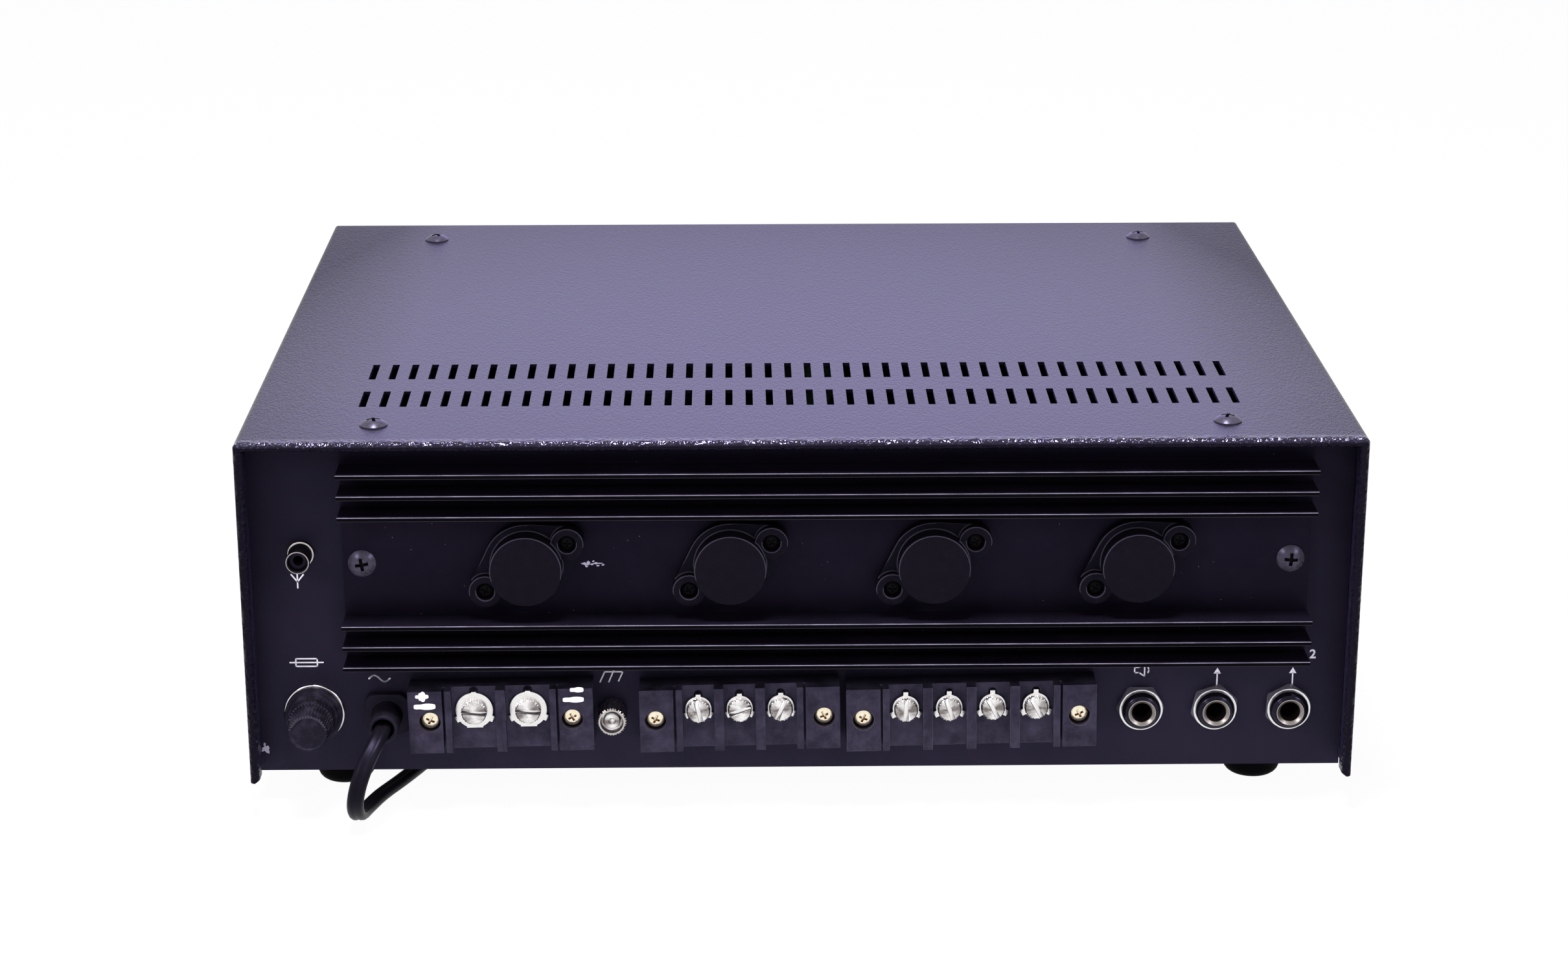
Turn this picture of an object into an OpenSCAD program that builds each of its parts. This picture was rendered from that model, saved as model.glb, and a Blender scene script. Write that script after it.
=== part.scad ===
// Public address amplifier: folded steel case, rear connector panel with heatsink,
// screw terminals, fuse, jacks and mains cord. Millimetres, +Z up, rear panel towards +Y.

/* [Case] */
// Outside width of the top cover
cover_w = 350; // [330:1:420]
// Depth of the top cover, front edge to rear edge
cover_d = 280; // [260:1:340]
// Height of the cover's sides
cover_h = 113; // [112:1:140]
// Thickness of the sheet steel
sheet = 1.2; // [0.8:0.1:1.6]
// Thickness of the cover's hemmed front and rear edges
hem_t = 3; // [2.4:0.1:4]
// Depth of the hem, from the edge inwards
hem_depth = 6; // [4:0.5:6]
// Outside radius of the cover's top bends
bend_r = 2; // [1:0.5:4]
// How far the tray hangs below the cover's sides
tray_drop = 1.5; // [0:0.5:4]
// Room between the tray and the cover's sides
tray_gap = 0.3; // [0.2:0.1:1]
// Distance from the cover's rear edge to the rear panel
panel_recess = 14.5; // [12:0.5:16]
// Distance from the cover's front edge to the tray's front wall
front_recess = 9.5; // [9.5:0.5:14]
// Height of the tray's side lips
tray_lip = 12; // [8:1:20]
// Distance of the rear cover screws from the cover's rear edge
rear_screw_in = 19; // [19:0.5:21]
// Distance of the front cover screws from the cover's front edge
front_screw_in = 24; // [18:0.5:28]
// Distance between the left and right cover screws
cover_screw_span = 267; // [240:1:290]

/* [Vents] */
// Width of a vent slot
slot_w = 2.3; // [1.5:0.1:3]
// Length of a vent slot
slot_l = 17; // [10:0.5:20]
// Distance from slot to slot
slot_pitch = 6.47; // [5:0.01:7]
// Number of slots in a row
slot_count = 44; // [20:1:46]
// Distance of each row's middle from the cover's rear edge
slot_row_near = 46.8; // [44:0.1:55]
// Distance between the two rows
slot_row_step = 30.7; // [24:0.1:40]

/* [Feet] */
// Diameter of a rubber foot
foot_d = 18.6; // [14:0.1:24]
// Height of a rubber foot
foot_h = 11; // [10:0.5:16]
// Distance of a foot's middle from the cover's side
foot_in_x = 26.3; // [20:0.1:40]
// Distance of a foot's middle from the cover's front and rear edges
foot_in_y = 36; // [34:0.5:50]
// Diameter of the stem that holds a foot in the tray
foot_stem_d = 7; // [5:0.5:9]

/* [Heatsink] */
// Length of the heatsink
sink_l = 304; // [290:1:306]
// How far the heatsink sits to the right of the middle, seen from behind
sink_shift = 8; // [0:0.5:10]
// Height of the heatsink's middle above the tray's underside
sink_rise = 71.5; // [70:0.5:76]
// Thickness of the web
web_t = 3; // [2:0.5:4]
// Distance between the two inner fins
web_h = 36; // [34:0.5:38]
// Height of a fin above the web
fin_reach = 11; // [8:0.5:11.5]
// Thickness of a fin
fin_t = 1.4; // [1:0.1:2]
// Distance from fin to fin
fin_pitch = 6.85; // [5:0.05:7]
// Distance of a heatsink screw from the heatsink's end
sink_screw_in = 6; // [5:0.5:10]

/* [Power transistors] */
// Distance from transistor to transistor
transistor_pitch = 63.8; // [48:0.1:66]
// How far the row sits to the right of the heatsink's middle
transistor_shift = 1.4; // [0:0.1:4]
// Turn of each transistor on the web, in degrees
transistor_tilt = 31; // [0:1:35]
// Distance between a transistor's two screws
transistor_screw_span = 30.15; // [30.15:0.05:31]
// Diameter of the plastic cover's round cap
cover_cap_d = 22.6; // [22:0.1:24]
// Height of the plastic cover's cap above the web
cover_cap_h = 9.5; // [9:0.5:12]

/* [Screws] */
// Diameter of the black case screws
case_screw_d = 3.5; // [3:0.1:4]
// Length of the black case screws
case_screw_l = 8; // [6:0.5:10]
// Head diameter of the black case screws
case_head_d = 8.8; // [7:0.1:9.5]
// Head height of the black case screws
case_head_h = 2.2; // [1.6:0.1:3]

/* [Connector row] */
// Height of the sockets' axes above the tray's underside
row_rise = 20; // [19:0.5:22]
// Distance of the antenna socket from the middle, seen from behind to the left
antenna_u = 157.4; // [156:0.1:160]
// Height of the antenna socket above the tray's underside
antenna_rise = 73.3; // [60:0.1:80]
// Outside diameter of the antenna socket's barrel
antenna_d = 8; // [7.6:0.1:8.4]
// Distance of the fuse holder from the middle
fuse_u = 155.5; // [155:0.1:158]
// Diameter of the fuse holder's chrome ring
fuse_ring_d = 19.4; // [17:0.1:22]
// How far the fuse cap stands out from the panel
fuse_reach = 18; // [17:0.5:22]
// How far the fuse comes out when it is changed
fuse_pull = 45; // [40:1:60]
// Distance of the cord bushing from the middle
bushing_u = 132.2; // [131:0.1:134]
// Width of the cord bushing's square flange
bushing_w = 14; // [12:0.5:15]
// How far the cord bushing stands out from the panel
bushing_reach = 15; // [12:0.5:18]
// Diameter of the cord bushing's hole
bushing_hole_d = 6.8; // [6.6:0.1:7]
// Distance of the ground post from the middle
ground_u = 60.3; // [59.6:0.1:60.6]
// Diameter of the ground post's stud
ground_d = 5; // [4:0.5:5.5]
// Diameter of the ground thumb nut
ground_nut_d = 9.2; // [8.6:0.1:10]
// Distance of the first jack from the middle, seen from behind to the right
jack_u = 108.7; // [106:0.1:110]
// Distance from jack to jack
jack_pitch = 23.7; // [20:0.1:24]
// Diameter of the jack's plug hole
jack_hole_d = 6.4; // [6.4:0.05:6.6]
// Width across the flats of the jack nut
jack_nut_af = 12.6; // [12:0.1:14]

/* [Terminal blocks] */
// Height of the blocks
block_h = 21; // [20:0.5:24]
// How far the ribs and ends stand out from the panel
block_t = 11; // [10:0.5:13]
// Depth of the bays between the ribs
bay_t = 4; // [3:0.5:5]
// Width of the solid ends
block_end = 10.8; // [10:0.1:12]
// Height of the terminal screws above the blocks' middle
terminal_lift = 2.6; // [0:0.1:3]
// Height of the blocks' middle above the sockets' axes
block_lift = 1; // [0:0.5:2]
// Turn of the blocks on the panel, in degrees
block_tilt = 1; // [0:0.1:1.5]
// Middle of the two-pole block, to the left of the middle
dc_u = 95.3; // [94:0.1:96]
// Pole spacing of the two-pole block
dc_pitch = 17.1; // [16:0.1:17.2]
// Middle of the three-pole block, to the left of the middle
speaker_u = 19.7; // [19.4:0.1:20]
// Pole spacing of the three-pole block
speaker_pitch = 13.1; // [12.8:0.1:13.1]
// Middle of the four-pole block, to the right of the middle
line_u = 53.8; // [53.6:0.1:54.4]
// Pole spacing of the four-pole block
line_pitch = 13.8; // [13:0.1:13.9]
// Width of the ribs between bays
rib_w = 3; // [2.4:0.1:3.2]
// Diameter of the terminal screws' threads
terminal_screw_d = 3.5; // [3:0.1:4]
// Head diameter of the two-pole block's screws
dc_head_d = 8.2; // [7.6:0.1:8.6]
// Head diameter of the other terminal screws
terminal_head_d = 7.6; // [7:0.1:8]
// Diameter of the two-pole block's round clamp plates
dc_clamp_d = 12; // [11:0.1:12.4]
// Diameter of the other clamp plates
clamp_d = 8.6; // [8.2:0.1:9]

/* [Front] */
// Thickness of the front panel
fascia_t = 3; // [2:0.5:3]
// Diameter of a level knob
knob_d = 26; // [20:1:30]
// Length of a level knob
knob_l = 16; // [14:1:20]
// Distance from knob to knob
knob_pitch = 52; // [44:1:56]
// Height of the knobs above the tray's underside
knob_rise = 56; // [45:1:66]
// Diameter of the pot shafts
shaft_d = 6; // [5:0.5:6.5]
// Width of the power switch's rocker
rocker_w = 13; // [11:0.5:16]
// Height of the power switch's rocker
rocker_h = 21; // [18:0.5:26]
// Diameter of the pilot lamp
lamp_d = 5; // [4:0.5:8]

/* [Cord] */
// Width of the flat two-core cord
cord_w = 5.4; // [5:0.1:5.8]
// Thickness of the flat two-core cord
cord_t = 3.4; // [3:0.1:3.6]
// Radius of the coil at the middle of its turns
coil_r = 29; // [28:0.5:31]
// Turns of the coil in each of its two layers
coil_turns = 3; // [2:1:4]

/* [Hidden] */
$fn = 48;
// Radial room of a screw in a plain hole, and of a part that turns in its bearing
screw_room = 0.2;
run_fit = 0.05;
// Room round a part inside a moulded cover, and of a neck in its panel hole
mould_room = 0.15;
neck_room = 0.1;
// Overshoot of a cut past the face that it opens
cut = 1;

// Case width that the places on the rear are drawn for. In a wider or narrower case the antenna socket
// and the fuse holder stay in the middle between their neighbour and the case's side.
drawn_w = 350;
antenna_at = antenna_u + (cover_w - drawn_w) / 4;
fuse_at = fuse_u + (cover_w - drawn_w) / 4;

// Levels and planes of the case
tray_z = foot_h;
cover_z = tray_z + tray_drop;
top_z = cover_z + cover_h;
tray_w = cover_w - 2 * sheet - 2 * tray_gap;
knob_gap = 0.5;
front_reach = fascia_t + knob_gap + knob_l - front_recess;
rear_reach = fuse_reach - panel_recess;
cover_rear = (cover_d + front_reach - rear_reach) / 2;
cover_front = cover_rear - cover_d;
panel_y = cover_rear - panel_recess;
wall_y = cover_front + front_recess;
rear_flange = 12;
front_flange = front_screw_in - front_recess + 8;
row_z = tray_z + row_rise;

// Fin heights above and below the web's middle
fin_levels = [web_h / 2, web_h / 2 + fin_pitch, web_h / 2 + 2 * fin_pitch];
sink_z = tray_z + sink_rise;
// Room between the heatsink's web and the cover's sheet
web_gap = 1.5;
transistor_count = 4;
ear_r = 5.2;
ear_h = 6;
ear_t = 3.2;
can_r = 9.9;
can_h = 7.8;
flange_r = 12.5;
flange_ear_r = 4.2;
flange_t = 1.6;
cover_wall = 1;
transistor_screw_d = 3;
transistor_screw_l = 9;
transistor_head_d = 5.2;
transistor_head_h = 1.8;
lead_hole_d = 3;
lead_d = 1;
lead_l = 7;
lead_at = [1.9, 5.45];

// Terminal blocks: middle, poles, pole spacing, screw head, clamp plate, side and upper tab length,
// and how far their end screws sit inwards of the middle of the end
DC = [-dc_u, 2, dc_pitch, dc_head_d, dc_clamp_d, 0.8, 0.3, 1.3];
SPEAKER = [-speaker_u, 3, speaker_pitch, terminal_head_d, clamp_d, 0.6, 0.7, -0.4];
LINE = [line_u, 4, line_pitch, terminal_head_d, clamp_d, 1.1, 1.2, 0];
BLOCKS = [DC, SPEAKER, LINE];
outer_rib = 2;
end_groove = 0.8;
block_z = row_z + block_lift;
pad_t = block_t - bay_t;
clamp_t = 1;
terminal_head_h = 2.4;
terminal_screw_l = pad_t + clamp_t - 1;
insert_d = 7;
block_screw_d = 3;
block_screw_head_d = 5.2;
block_screw_head_h = 2.2;
counterbore_d = 6.8;
counterbore_t = 4.6;
slot_cut_w = 1.2;
notch_w = 2.8;
notch_t = 1.6;
lug_size = [5, 1, 11];

// Necks and windows in the rear panel
antenna_bush_d = 6.4;
antenna_reach = 9.5;
antenna_inner_d = antenna_d - 1.4;
antenna_floor = 2;
antenna_core_d = 4.6;
antenna_tail = 8;
antenna_pin_d = 3.4;
antenna_nut_d = 11.5;
antenna_nut_t = 2;
fuse_barrel_d = 13.6;
fuse_barrel_l = 38;
fuse_flange_d = fuse_ring_d - 1;
fuse_flange_t = 5;
fuse_step_d = 16;
fuse_ring_t = 1.2;
fuse_bore_d = 8.4;
fuse_collar_d = 14.4;
fuse_collar_t = 5;
fuse_tip_d = 12.4;
fuse_socket = 8;
fuse_stub = 6;
cartridge_d = 5.2;
cartridge_l = 20;
bushing_neck_d = 11;
bushing_flange_t = 3;
bushing_nose_d = 9;
bushing_tail = 5;
ground_base_t = 1.5;
ground_reach = 9.3;
ground_tail = 9;
ground_lock_t = 3;
ground_nut_l = 8.6;
jack_thread_d = 11;
jack_depth = 4;
jack_reach = 5.5;
jack_sleeve_d = 8.8;
jack_round = 2;
jack_funnel = 0.8;
jack_box = [16, 18, 24];
jack_nut_t = 2.6;
jack_nut_turns = [0, 18, 28];
window_w = 18;
window_h = 12;

// Front layout, seen from the front
knob_count = 4;
knob_z = tray_z + knob_rise;
pot_bush_d = 9;
pot_d = 24;
pot_l = 12;
shaft_reach = fascia_t + knob_gap + 11;
rocker_u = 138;
rocker_frame_w = 3;
rocker_cut_w = rocker_w + 2;
rocker_cut_h = rocker_h + 2;
rocker_throw = 12;
rocker_pivot = fascia_t - 1;
rocker_r = rocker_h / 2 - 0.2;
switch_depth = 18;
lamp_u = 106;
lamp_z = knob_z;

// Parts inside the case
board_size = [150, 130, 1.6];
board_at = [-80, -10];
standoff_h = 8;
standoff_d = 6;
// The block-shaped coils on the board, and how far apart they stand
board_block = [18, 30, 14];
board_step = board_size[0] / 5;
core_size = [80, 42, 66];
winding_size = [50, 66, 44];
transformer_at = [100, -20];
capacitor_d = 30;
capacitor_h = 50;
capacitor_gap = 10;

// Slot directions of the terminal screws, as they were left after tightening
DC_SLOTS = [-7, -6];
SPEAKER_SLOTS = [104, 21, 68];
LINE_SLOTS = [90, 110, 118, 120];

// Coil of the mains cord, standing on edge in two layers on its tie
coil_step = 4.6;
layer_step = cord_w + 0.6;
tie_t = 0.6;
tie_w = 8;
tie_angle = 200;
coil_outer = coil_r + coil_step * coil_turns / 2;
coil_inner = coil_r - coil_step * coil_turns / 2;
lead_x = 100;
coil_x = lead_x - coil_outer;
coil_y = cover_front - front_reach - coil_outer - 9;
coil_z = tie_t + 0.2 + cord_w / 2;
reverse_at = 360 * coil_turns;
climb_arc = 60;
climb_from = reverse_at - climb_arc / 2;
coil_end = reverse_at + 990;
ring_step = 15;

// Plug of the mains cord, beside the coil
plug_x = lead_x + 10;
plug_h = 13;
plug_l = 36;
plug_w = 26;
pin_d = 4;
pin_l = 19;
pin_span = 18.6;

// Route of the cord from the bushing, down to the floor and forwards under the tray to the coil
floor_z = cord_t / 2 + 0.1;
lead_points = [
    [bushing_u, panel_y, row_z], [bushing_u, panel_y + 7, row_z], [132.5, 143, 30.7], [134, 149.5, 28.8],
    [136.6, 154.4, 24.4], [138.9, 156.8, 18.4], [140.4, 156, 12], [140.8, 152, 6.4], [140.4, 146, 2.8],
    [139, 138.5, floor_z], [135.5, 128, floor_z], [130, 116, floor_z], [124.5, 103, floor_z],
    [119.5, 89, floor_z], [115, 74, floor_z], [111.5, 59, floor_z], [108.5, 44, floor_z],
    [106, 29, floor_z], [104, 14, floor_z], [102.5, -1, floor_z], [101.3, -16, floor_z],
    [100.5, -31, floor_z], [lead_x, -46, floor_z],
    [lead_x, -61, floor_z], [lead_x, -76, floor_z], [lead_x, -91, floor_z], [lead_x, -106, floor_z],
    [lead_x, -120, floor_z], [lead_x, -134, 2], [lead_x, -148, 2.6], [lead_x, -161, 3.2],
    [lead_x, coil_y + 18, coil_z], [lead_x, coil_y + cord_w, coil_z]];
// The cord lies flat until it turns on edge over these last points
turn_over = 5;

// Places a child on the rear panel: u to the right as seen from behind, h above the floor, its z outwards
module on_rear(u, h) {
    translate([-u, panel_y, h]) rotate([90, 0, 180]) children();
}

// Places a child on the tray's front wall: u to the right as seen from the front, its z outwards
module on_front(u, h) {
    translate([u, wall_y, h]) rotate([90, 0, 0]) children();
}

// Places a child on a terminal block, in the block's own turned frame
module on_block(b, x, y) {
    on_rear(b[0], block_z) rotate(block_tilt) translate([x, y, 0]) children();
}

function knob_u(i) = (i - (knob_count - 1) / 2) * knob_pitch - 32;
function slot_x(i) = (i - (slot_count - 1) / 2) * slot_pitch;
function pole_x(b, i) = (i - (b[1] - 1) / 2) * b[2];
function block_w(b) = b[1] * b[2] - rib_w + 2 * (outer_rib + end_groove + block_end);
function end_x(b) = (block_w(b) - block_end) / 2 - b[7];
function transistor_u(i) = sink_shift + transistor_shift
    + (i - (transistor_count - 1) / 2) * transistor_pitch;

// Places a child on each transistor's centre on the web's face, turned as the transistors are
module at_transistors(lift) {
    for (i = [0 : transistor_count - 1])
        on_rear(transistor_u(i), sink_z) translate([0, 0, lift]) rotate(transistor_tilt) children();
}

module at_transistor_screws(lift) {
    at_transistors(lift) for (s = [-1, 1]) translate([s * transistor_screw_span / 2, 0, 0]) children();
}

module at_sink_screws(lift) {
    for (s = [-1, 1])
        on_rear(sink_shift + s * (sink_l / 2 - sink_screw_in), sink_z) translate([0, 0, lift]) children();
}

module at_cover_screws() {
    for (s = [-1, 1], y = [cover_rear - rear_screw_in, cover_front + front_screw_in])
        translate([s * cover_screw_span / 2, y, top_z]) children();
}

module at_feet() {
    for (s = [-1, 1], y = [cover_rear - foot_in_y, cover_front + foot_in_y])
        translate([s * (cover_w / 2 - foot_in_x), y, 0]) children();
}

module at_jacks() {
    for (i = [0 : 2]) on_rear(jack_u + i * jack_pitch, row_z) children();
}

// Screw standing on z = 0 with a domed head and a cross recess
module cross_screw(d, l, head_d, head_h) {
    dome = (head_d * head_d / 4 + head_h * head_h) / (2 * head_h);
    recess_l = 0.5 * head_d;
    recess_w = 0.13 * head_d;
    recess_t = 0.6 * head_h;
    difference() {
        union() {
            translate([0, 0, -l]) cylinder(d = d, h = l + head_h / 2);
            intersection() {
                cylinder(d = head_d, h = head_h);
                translate([0, 0, head_h - dome]) sphere(dome);
            }
        }
        for (a = [0, 90])
            rotate(a) translate([-recess_l / 2, -recess_w / 2, head_h - recess_t])
                cube([recess_l, recess_w, recess_t + cut]);
    }
}

// Outline of the cover seen from behind, with its top corners rounded
module round_top(w, h, r) {
    translate([-w / 2, 0]) square([w, h - r]);
    translate([r - w / 2, 0]) square([w - 2 * r, h]);
    for (s = [-1, 1]) translate([s * (w / 2 - r), h - r]) circle(r);
}

// Stands a flat outline upright and runs it forwards from the plane y
module upright(y, depth) {
    translate([0, y, cover_z]) rotate([90, 0, 0]) linear_extrude(depth) children();
}

// Prism of an outline in the cover's end plane, as deep as the hem
module hem_prism() {
    translate([0, cut, 0]) rotate([90, 0, 0]) linear_extrude(hem_depth + 2 * cut) children();
}

// Section of the hem: folded flat, with a rounded edge towards +X
module hem_section() {
    translate([-hem_t / 2, -hem_t / 2]) circle(hem_t / 2);
    translate([-hem_depth, -hem_t]) square([hem_depth - hem_t / 2, hem_t]);
}

// Hem round the top and sides of the open end at y = 0, mitred at the top corners. Its lower ends are
// cut away on their inner side.
module hem() {
    w = cover_w / 2;
    m = 2 * hem_t;
    intersection() {
        translate([-w, 0, cover_h]) rotate([90, 0, 90]) linear_extrude(cover_w) hem_section();
        hem_prism() polygon([[-w, cover_h], [w, cover_h], [w - m, cover_h - m], [m - w, cover_h - m]]);
    }
    for (s = [-1, 1])
        intersection() {
            mirror([s < 0 ? 1 : 0, 0, 0]) translate([w, 0, 0]) linear_extrude(cover_h)
                rotate(90) mirror([0, 1]) hem_section();
            hem_prism() polygon([[s * w, cover_h], [s * w, 0], [s * (w - hem_t / 2), 0],
                                 [s * (w - m), 0.65 * (m - hem_t / 2)], [s * (w - m), cover_h - m]]);
        }
}

module top_cover() {
    color("#2b2930") difference() {
        intersection() {
            union() {
                upright(cover_rear - hem_t / 2, cover_d - hem_t) difference() {
                    round_top(cover_w, cover_h, bend_r);
                    translate([0, -cut])
                        round_top(cover_w - 2 * sheet, cover_h - sheet + cut, max(bend_r - sheet, 0.3));
                }
                translate([0, cover_rear, cover_z]) hem();
                translate([0, cover_front, cover_z]) mirror([0, 1, 0]) hem();
            }
            upright(cover_rear + cut, cover_d + 2 * cut) round_top(cover_w, cover_h, bend_r);
        }
        for (row = [slot_row_near, slot_row_near + slot_row_step], i = [0 : slot_count - 1])
            translate([slot_x(i) - slot_w / 2, cover_rear - row - slot_l / 2, top_z - sheet - cut])
                cube([slot_w, slot_l, sheet + 2 * cut]);
        at_cover_screws() translate([0, 0, -sheet - cut])
            cylinder(d = case_screw_d + 2 * screw_room, h = sheet + 2 * cut);
    }
}

module case_screws() {
    color("#1d1c20") {
        at_cover_screws() cross_screw(case_screw_d, case_screw_l, case_head_d, case_head_h);
        at_sink_screws(web_t) cross_screw(case_screw_d, case_screw_l, case_head_d, case_head_h);
    }
}

// Flat plate of the rear wall's outline, drilled for everything that the panel carries
module rear_wall() {
    wall_h = top_z - sheet - tray_z;
    difference() {
        translate([-tray_w / 2, panel_y - sheet, tray_z]) cube([tray_w, sheet, wall_h]);
        rear_hole(-antenna_at, tray_z + antenna_rise, antenna_bush_d);
        rear_hole(-fuse_at, row_z, fuse_barrel_d);
        rear_hole(-bushing_u, row_z, bushing_neck_d);
        rear_hole(-ground_u, row_z, ground_d + 2 * screw_room);
        for (i = [0 : 2]) rear_hole(jack_u + i * jack_pitch, row_z, jack_thread_d);
        at_sink_screws(-sheet - cut) cylinder(d = case_screw_d + 2 * screw_room, h = sheet + 2 * cut);
        at_transistors(-sheet - cut) linear_extrude(sheet + 2 * cut)
            square([window_w, window_h], center = true);
        at_transistor_screws(-sheet - cut)
            cylinder(d = transistor_screw_d + 2 * screw_room, h = sheet + 2 * cut);
        for (b = BLOCKS) {
            on_block(b, 0, terminal_lift) translate([0, 0, -sheet - cut]) linear_extrude(sheet + 2 * cut)
                square([(b[1] - 1) * b[2] + insert_d + 2, insert_d + 2], center = true);
            for (s = [-1, 1])
                on_block(b, s * end_x(b), 0) translate([0, 0, -sheet - cut])
                    cylinder(d = block_screw_d + 2 * screw_room, h = sheet + 2 * cut);
        }
    }
}

module rear_hole(u, h, d) {
    on_rear(u, h) translate([0, 0, -sheet - cut]) cylinder(d = d, h = sheet + 2 * cut);
}

module front_wall() {
    wall_h = top_z - sheet - tray_z;
    difference() {
        translate([-tray_w / 2, wall_y, tray_z]) cube([tray_w, sheet, wall_h]);
        front_holes(sheet);
    }
}

// Cuts for the shafts, the switch and the lamp, from the tray's front wall outwards to t in front of it
module front_holes(t) {
    for (i = [0 : knob_count - 1])
        on_front(knob_u(i), knob_z) translate([0, 0, -sheet - cut])
            cylinder(d = pot_bush_d, h = sheet + t + 2 * cut);
    on_front(rocker_u, knob_z) translate([-rocker_cut_w / 2, -rocker_cut_h / 2, -sheet - cut])
        cube([rocker_cut_w, rocker_cut_h, sheet + t + 2 * cut]);
    on_front(lamp_u, lamp_z) translate([0, 0, -sheet - cut]) cylinder(d = lamp_d, h = sheet + t + 2 * cut);
}

module chassis() {
    depth = panel_y - wall_y;
    color("#24222a") difference() {
        union() {
            translate([-tray_w / 2, wall_y, tray_z]) cube([tray_w, depth, sheet]);
            for (s = [0, 1])
                translate([s * (tray_w - sheet) - tray_w / 2, wall_y, tray_z]) cube([sheet, depth, tray_lip]);
            rear_wall();
            front_wall();
            translate([-tray_w / 2, panel_y - rear_flange, top_z - 2 * sheet])
                cube([tray_w, rear_flange, sheet]);
            translate([-tray_w / 2, wall_y, top_z - 2 * sheet]) cube([tray_w, front_flange, sheet]);
        }
        at_cover_screws() translate([0, 0, -2 * sheet - cut])
            cylinder(d = case_screw_d + 2 * screw_room, h = 2 * sheet + 2 * cut);
        at_feet() translate([0, 0, tray_z - cut])
            cylinder(d = foot_stem_d + 2 * run_fit, h = sheet + 2 * cut);
    }
}

module front_panel() {
    color("#2a292e") difference() {
        translate([-tray_w / 2, wall_y - fascia_t, cover_z])
            cube([tray_w, fascia_t, cover_h - sheet - tray_gap]);
        front_holes(fascia_t);
    }
}

module rubber_feet() {
    edge = foot_h / 3;
    color("#141416") at_feet() {
        rotate_extrude() intersection() {
            union() {
                square([foot_d / 2 - edge, foot_h]);
                translate([0, edge]) square([foot_d / 2, foot_h - edge]);
                translate([foot_d / 2 - edge, edge]) circle(edge);
            }
            square([foot_d, foot_h]);
        }
        translate([0, 0, foot_h]) cylinder(d = foot_stem_d, h = sheet);
        translate([0, 0, foot_h + sheet]) cylinder(d1 = foot_stem_d + 2, d2 = foot_stem_d - 2, h = 3);
    }
}

module heatsink() {
    half_h = fin_levels[2] + fin_t / 2;
    rise = top_z - sheet - web_gap - sink_z;
    color("#1b1a1f") difference() {
        on_rear(sink_shift, sink_z) {
            translate([-sink_l / 2, -half_h, 0]) cube([sink_l, half_h + rise, web_t]);
            for (level = fin_levels, s = [-1, 1])
                translate([-sink_l / 2, s * level - fin_t / 2, 0]) cube([sink_l, fin_t, web_t + fin_reach]);
        }
        at_sink_screws(-cut) cylinder(d = case_screw_d + 2 * screw_room, h = web_t + 2 * cut);
        at_transistor_screws(-cut) cylinder(d = transistor_screw_d + 2 * screw_room, h = web_t + 2 * cut);
        at_transistors(-cut) for (s = [-1, 1])
            translate([lead_at[0], s * lead_at[1], 0]) cylinder(d = lead_hole_d, h = web_t + 2 * cut);
    }
}

// Outline of a two-eared flange: a round middle with a tangent ear on each side
module diamond(middle_r, r, d) {
    a = acos((middle_r - r) / d);
    c = cos(a);
    k = sin(a);
    polygon([[middle_r * c, middle_r * k], [d + r * c, r * k],
             [d + r * c, -r * k], [middle_r * c, -middle_r * k],
             [-middle_r * c, -middle_r * k], [-d - r * c, -r * k],
             [-d - r * c, r * k], [-middle_r * c, middle_r * k]]);
    circle(middle_r);
    for (s = [-1, 1]) translate([s * d, 0]) circle(r);
}

module power_transistors() {
    color("#b9b6ae") at_transistors(web_t) {
        difference() {
            linear_extrude(flange_t) diamond(flange_r, flange_ear_r, transistor_screw_span / 2);
            for (s = [-1, 1]) translate([s * transistor_screw_span / 2, 0, -cut])
                cylinder(d = transistor_screw_d + 2 * screw_room, h = flange_t + 2 * cut);
        }
        cylinder(r = can_r, h = can_h);
        for (s = [-1, 1])
            translate([lead_at[0], s * lead_at[1], -web_t - lead_l])
                cylinder(d = lead_d, h = web_t + lead_l + cut);
    }
}

module transistor_covers() {
    d = transistor_screw_span / 2;
    color("#1a191c") at_transistors(web_t) difference() {
        union() {
            linear_extrude(ear_t) diamond(flange_r + cover_wall, ear_r, d);
            for (s = [-1, 1]) translate([s * d, 0, 0]) cylinder(r = ear_r, h = ear_h);
            cylinder(d = cover_cap_d, h = cover_cap_h);
        }
        translate([0, 0, -cut]) linear_extrude(flange_t + mould_room + cut)
            diamond(flange_r + mould_room, flange_ear_r + mould_room, d);
        cylinder(r = can_r + mould_room, h = can_h + mould_room);
        for (s = [-1, 1]) translate([s * d, 0, 0]) {
            cylinder(d = transistor_screw_d + 2 * screw_room, h = ear_h + cut);
            translate([0, 0, ear_t]) cylinder(d = transistor_head_d + 2 * screw_room, h = ear_h);
        }
    }
}

module transistor_screws() {
    color("#3a393d") at_transistor_screws(web_t + ear_t)
        cross_screw(transistor_screw_d, transistor_screw_l, transistor_head_d, transistor_head_h);
}

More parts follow.
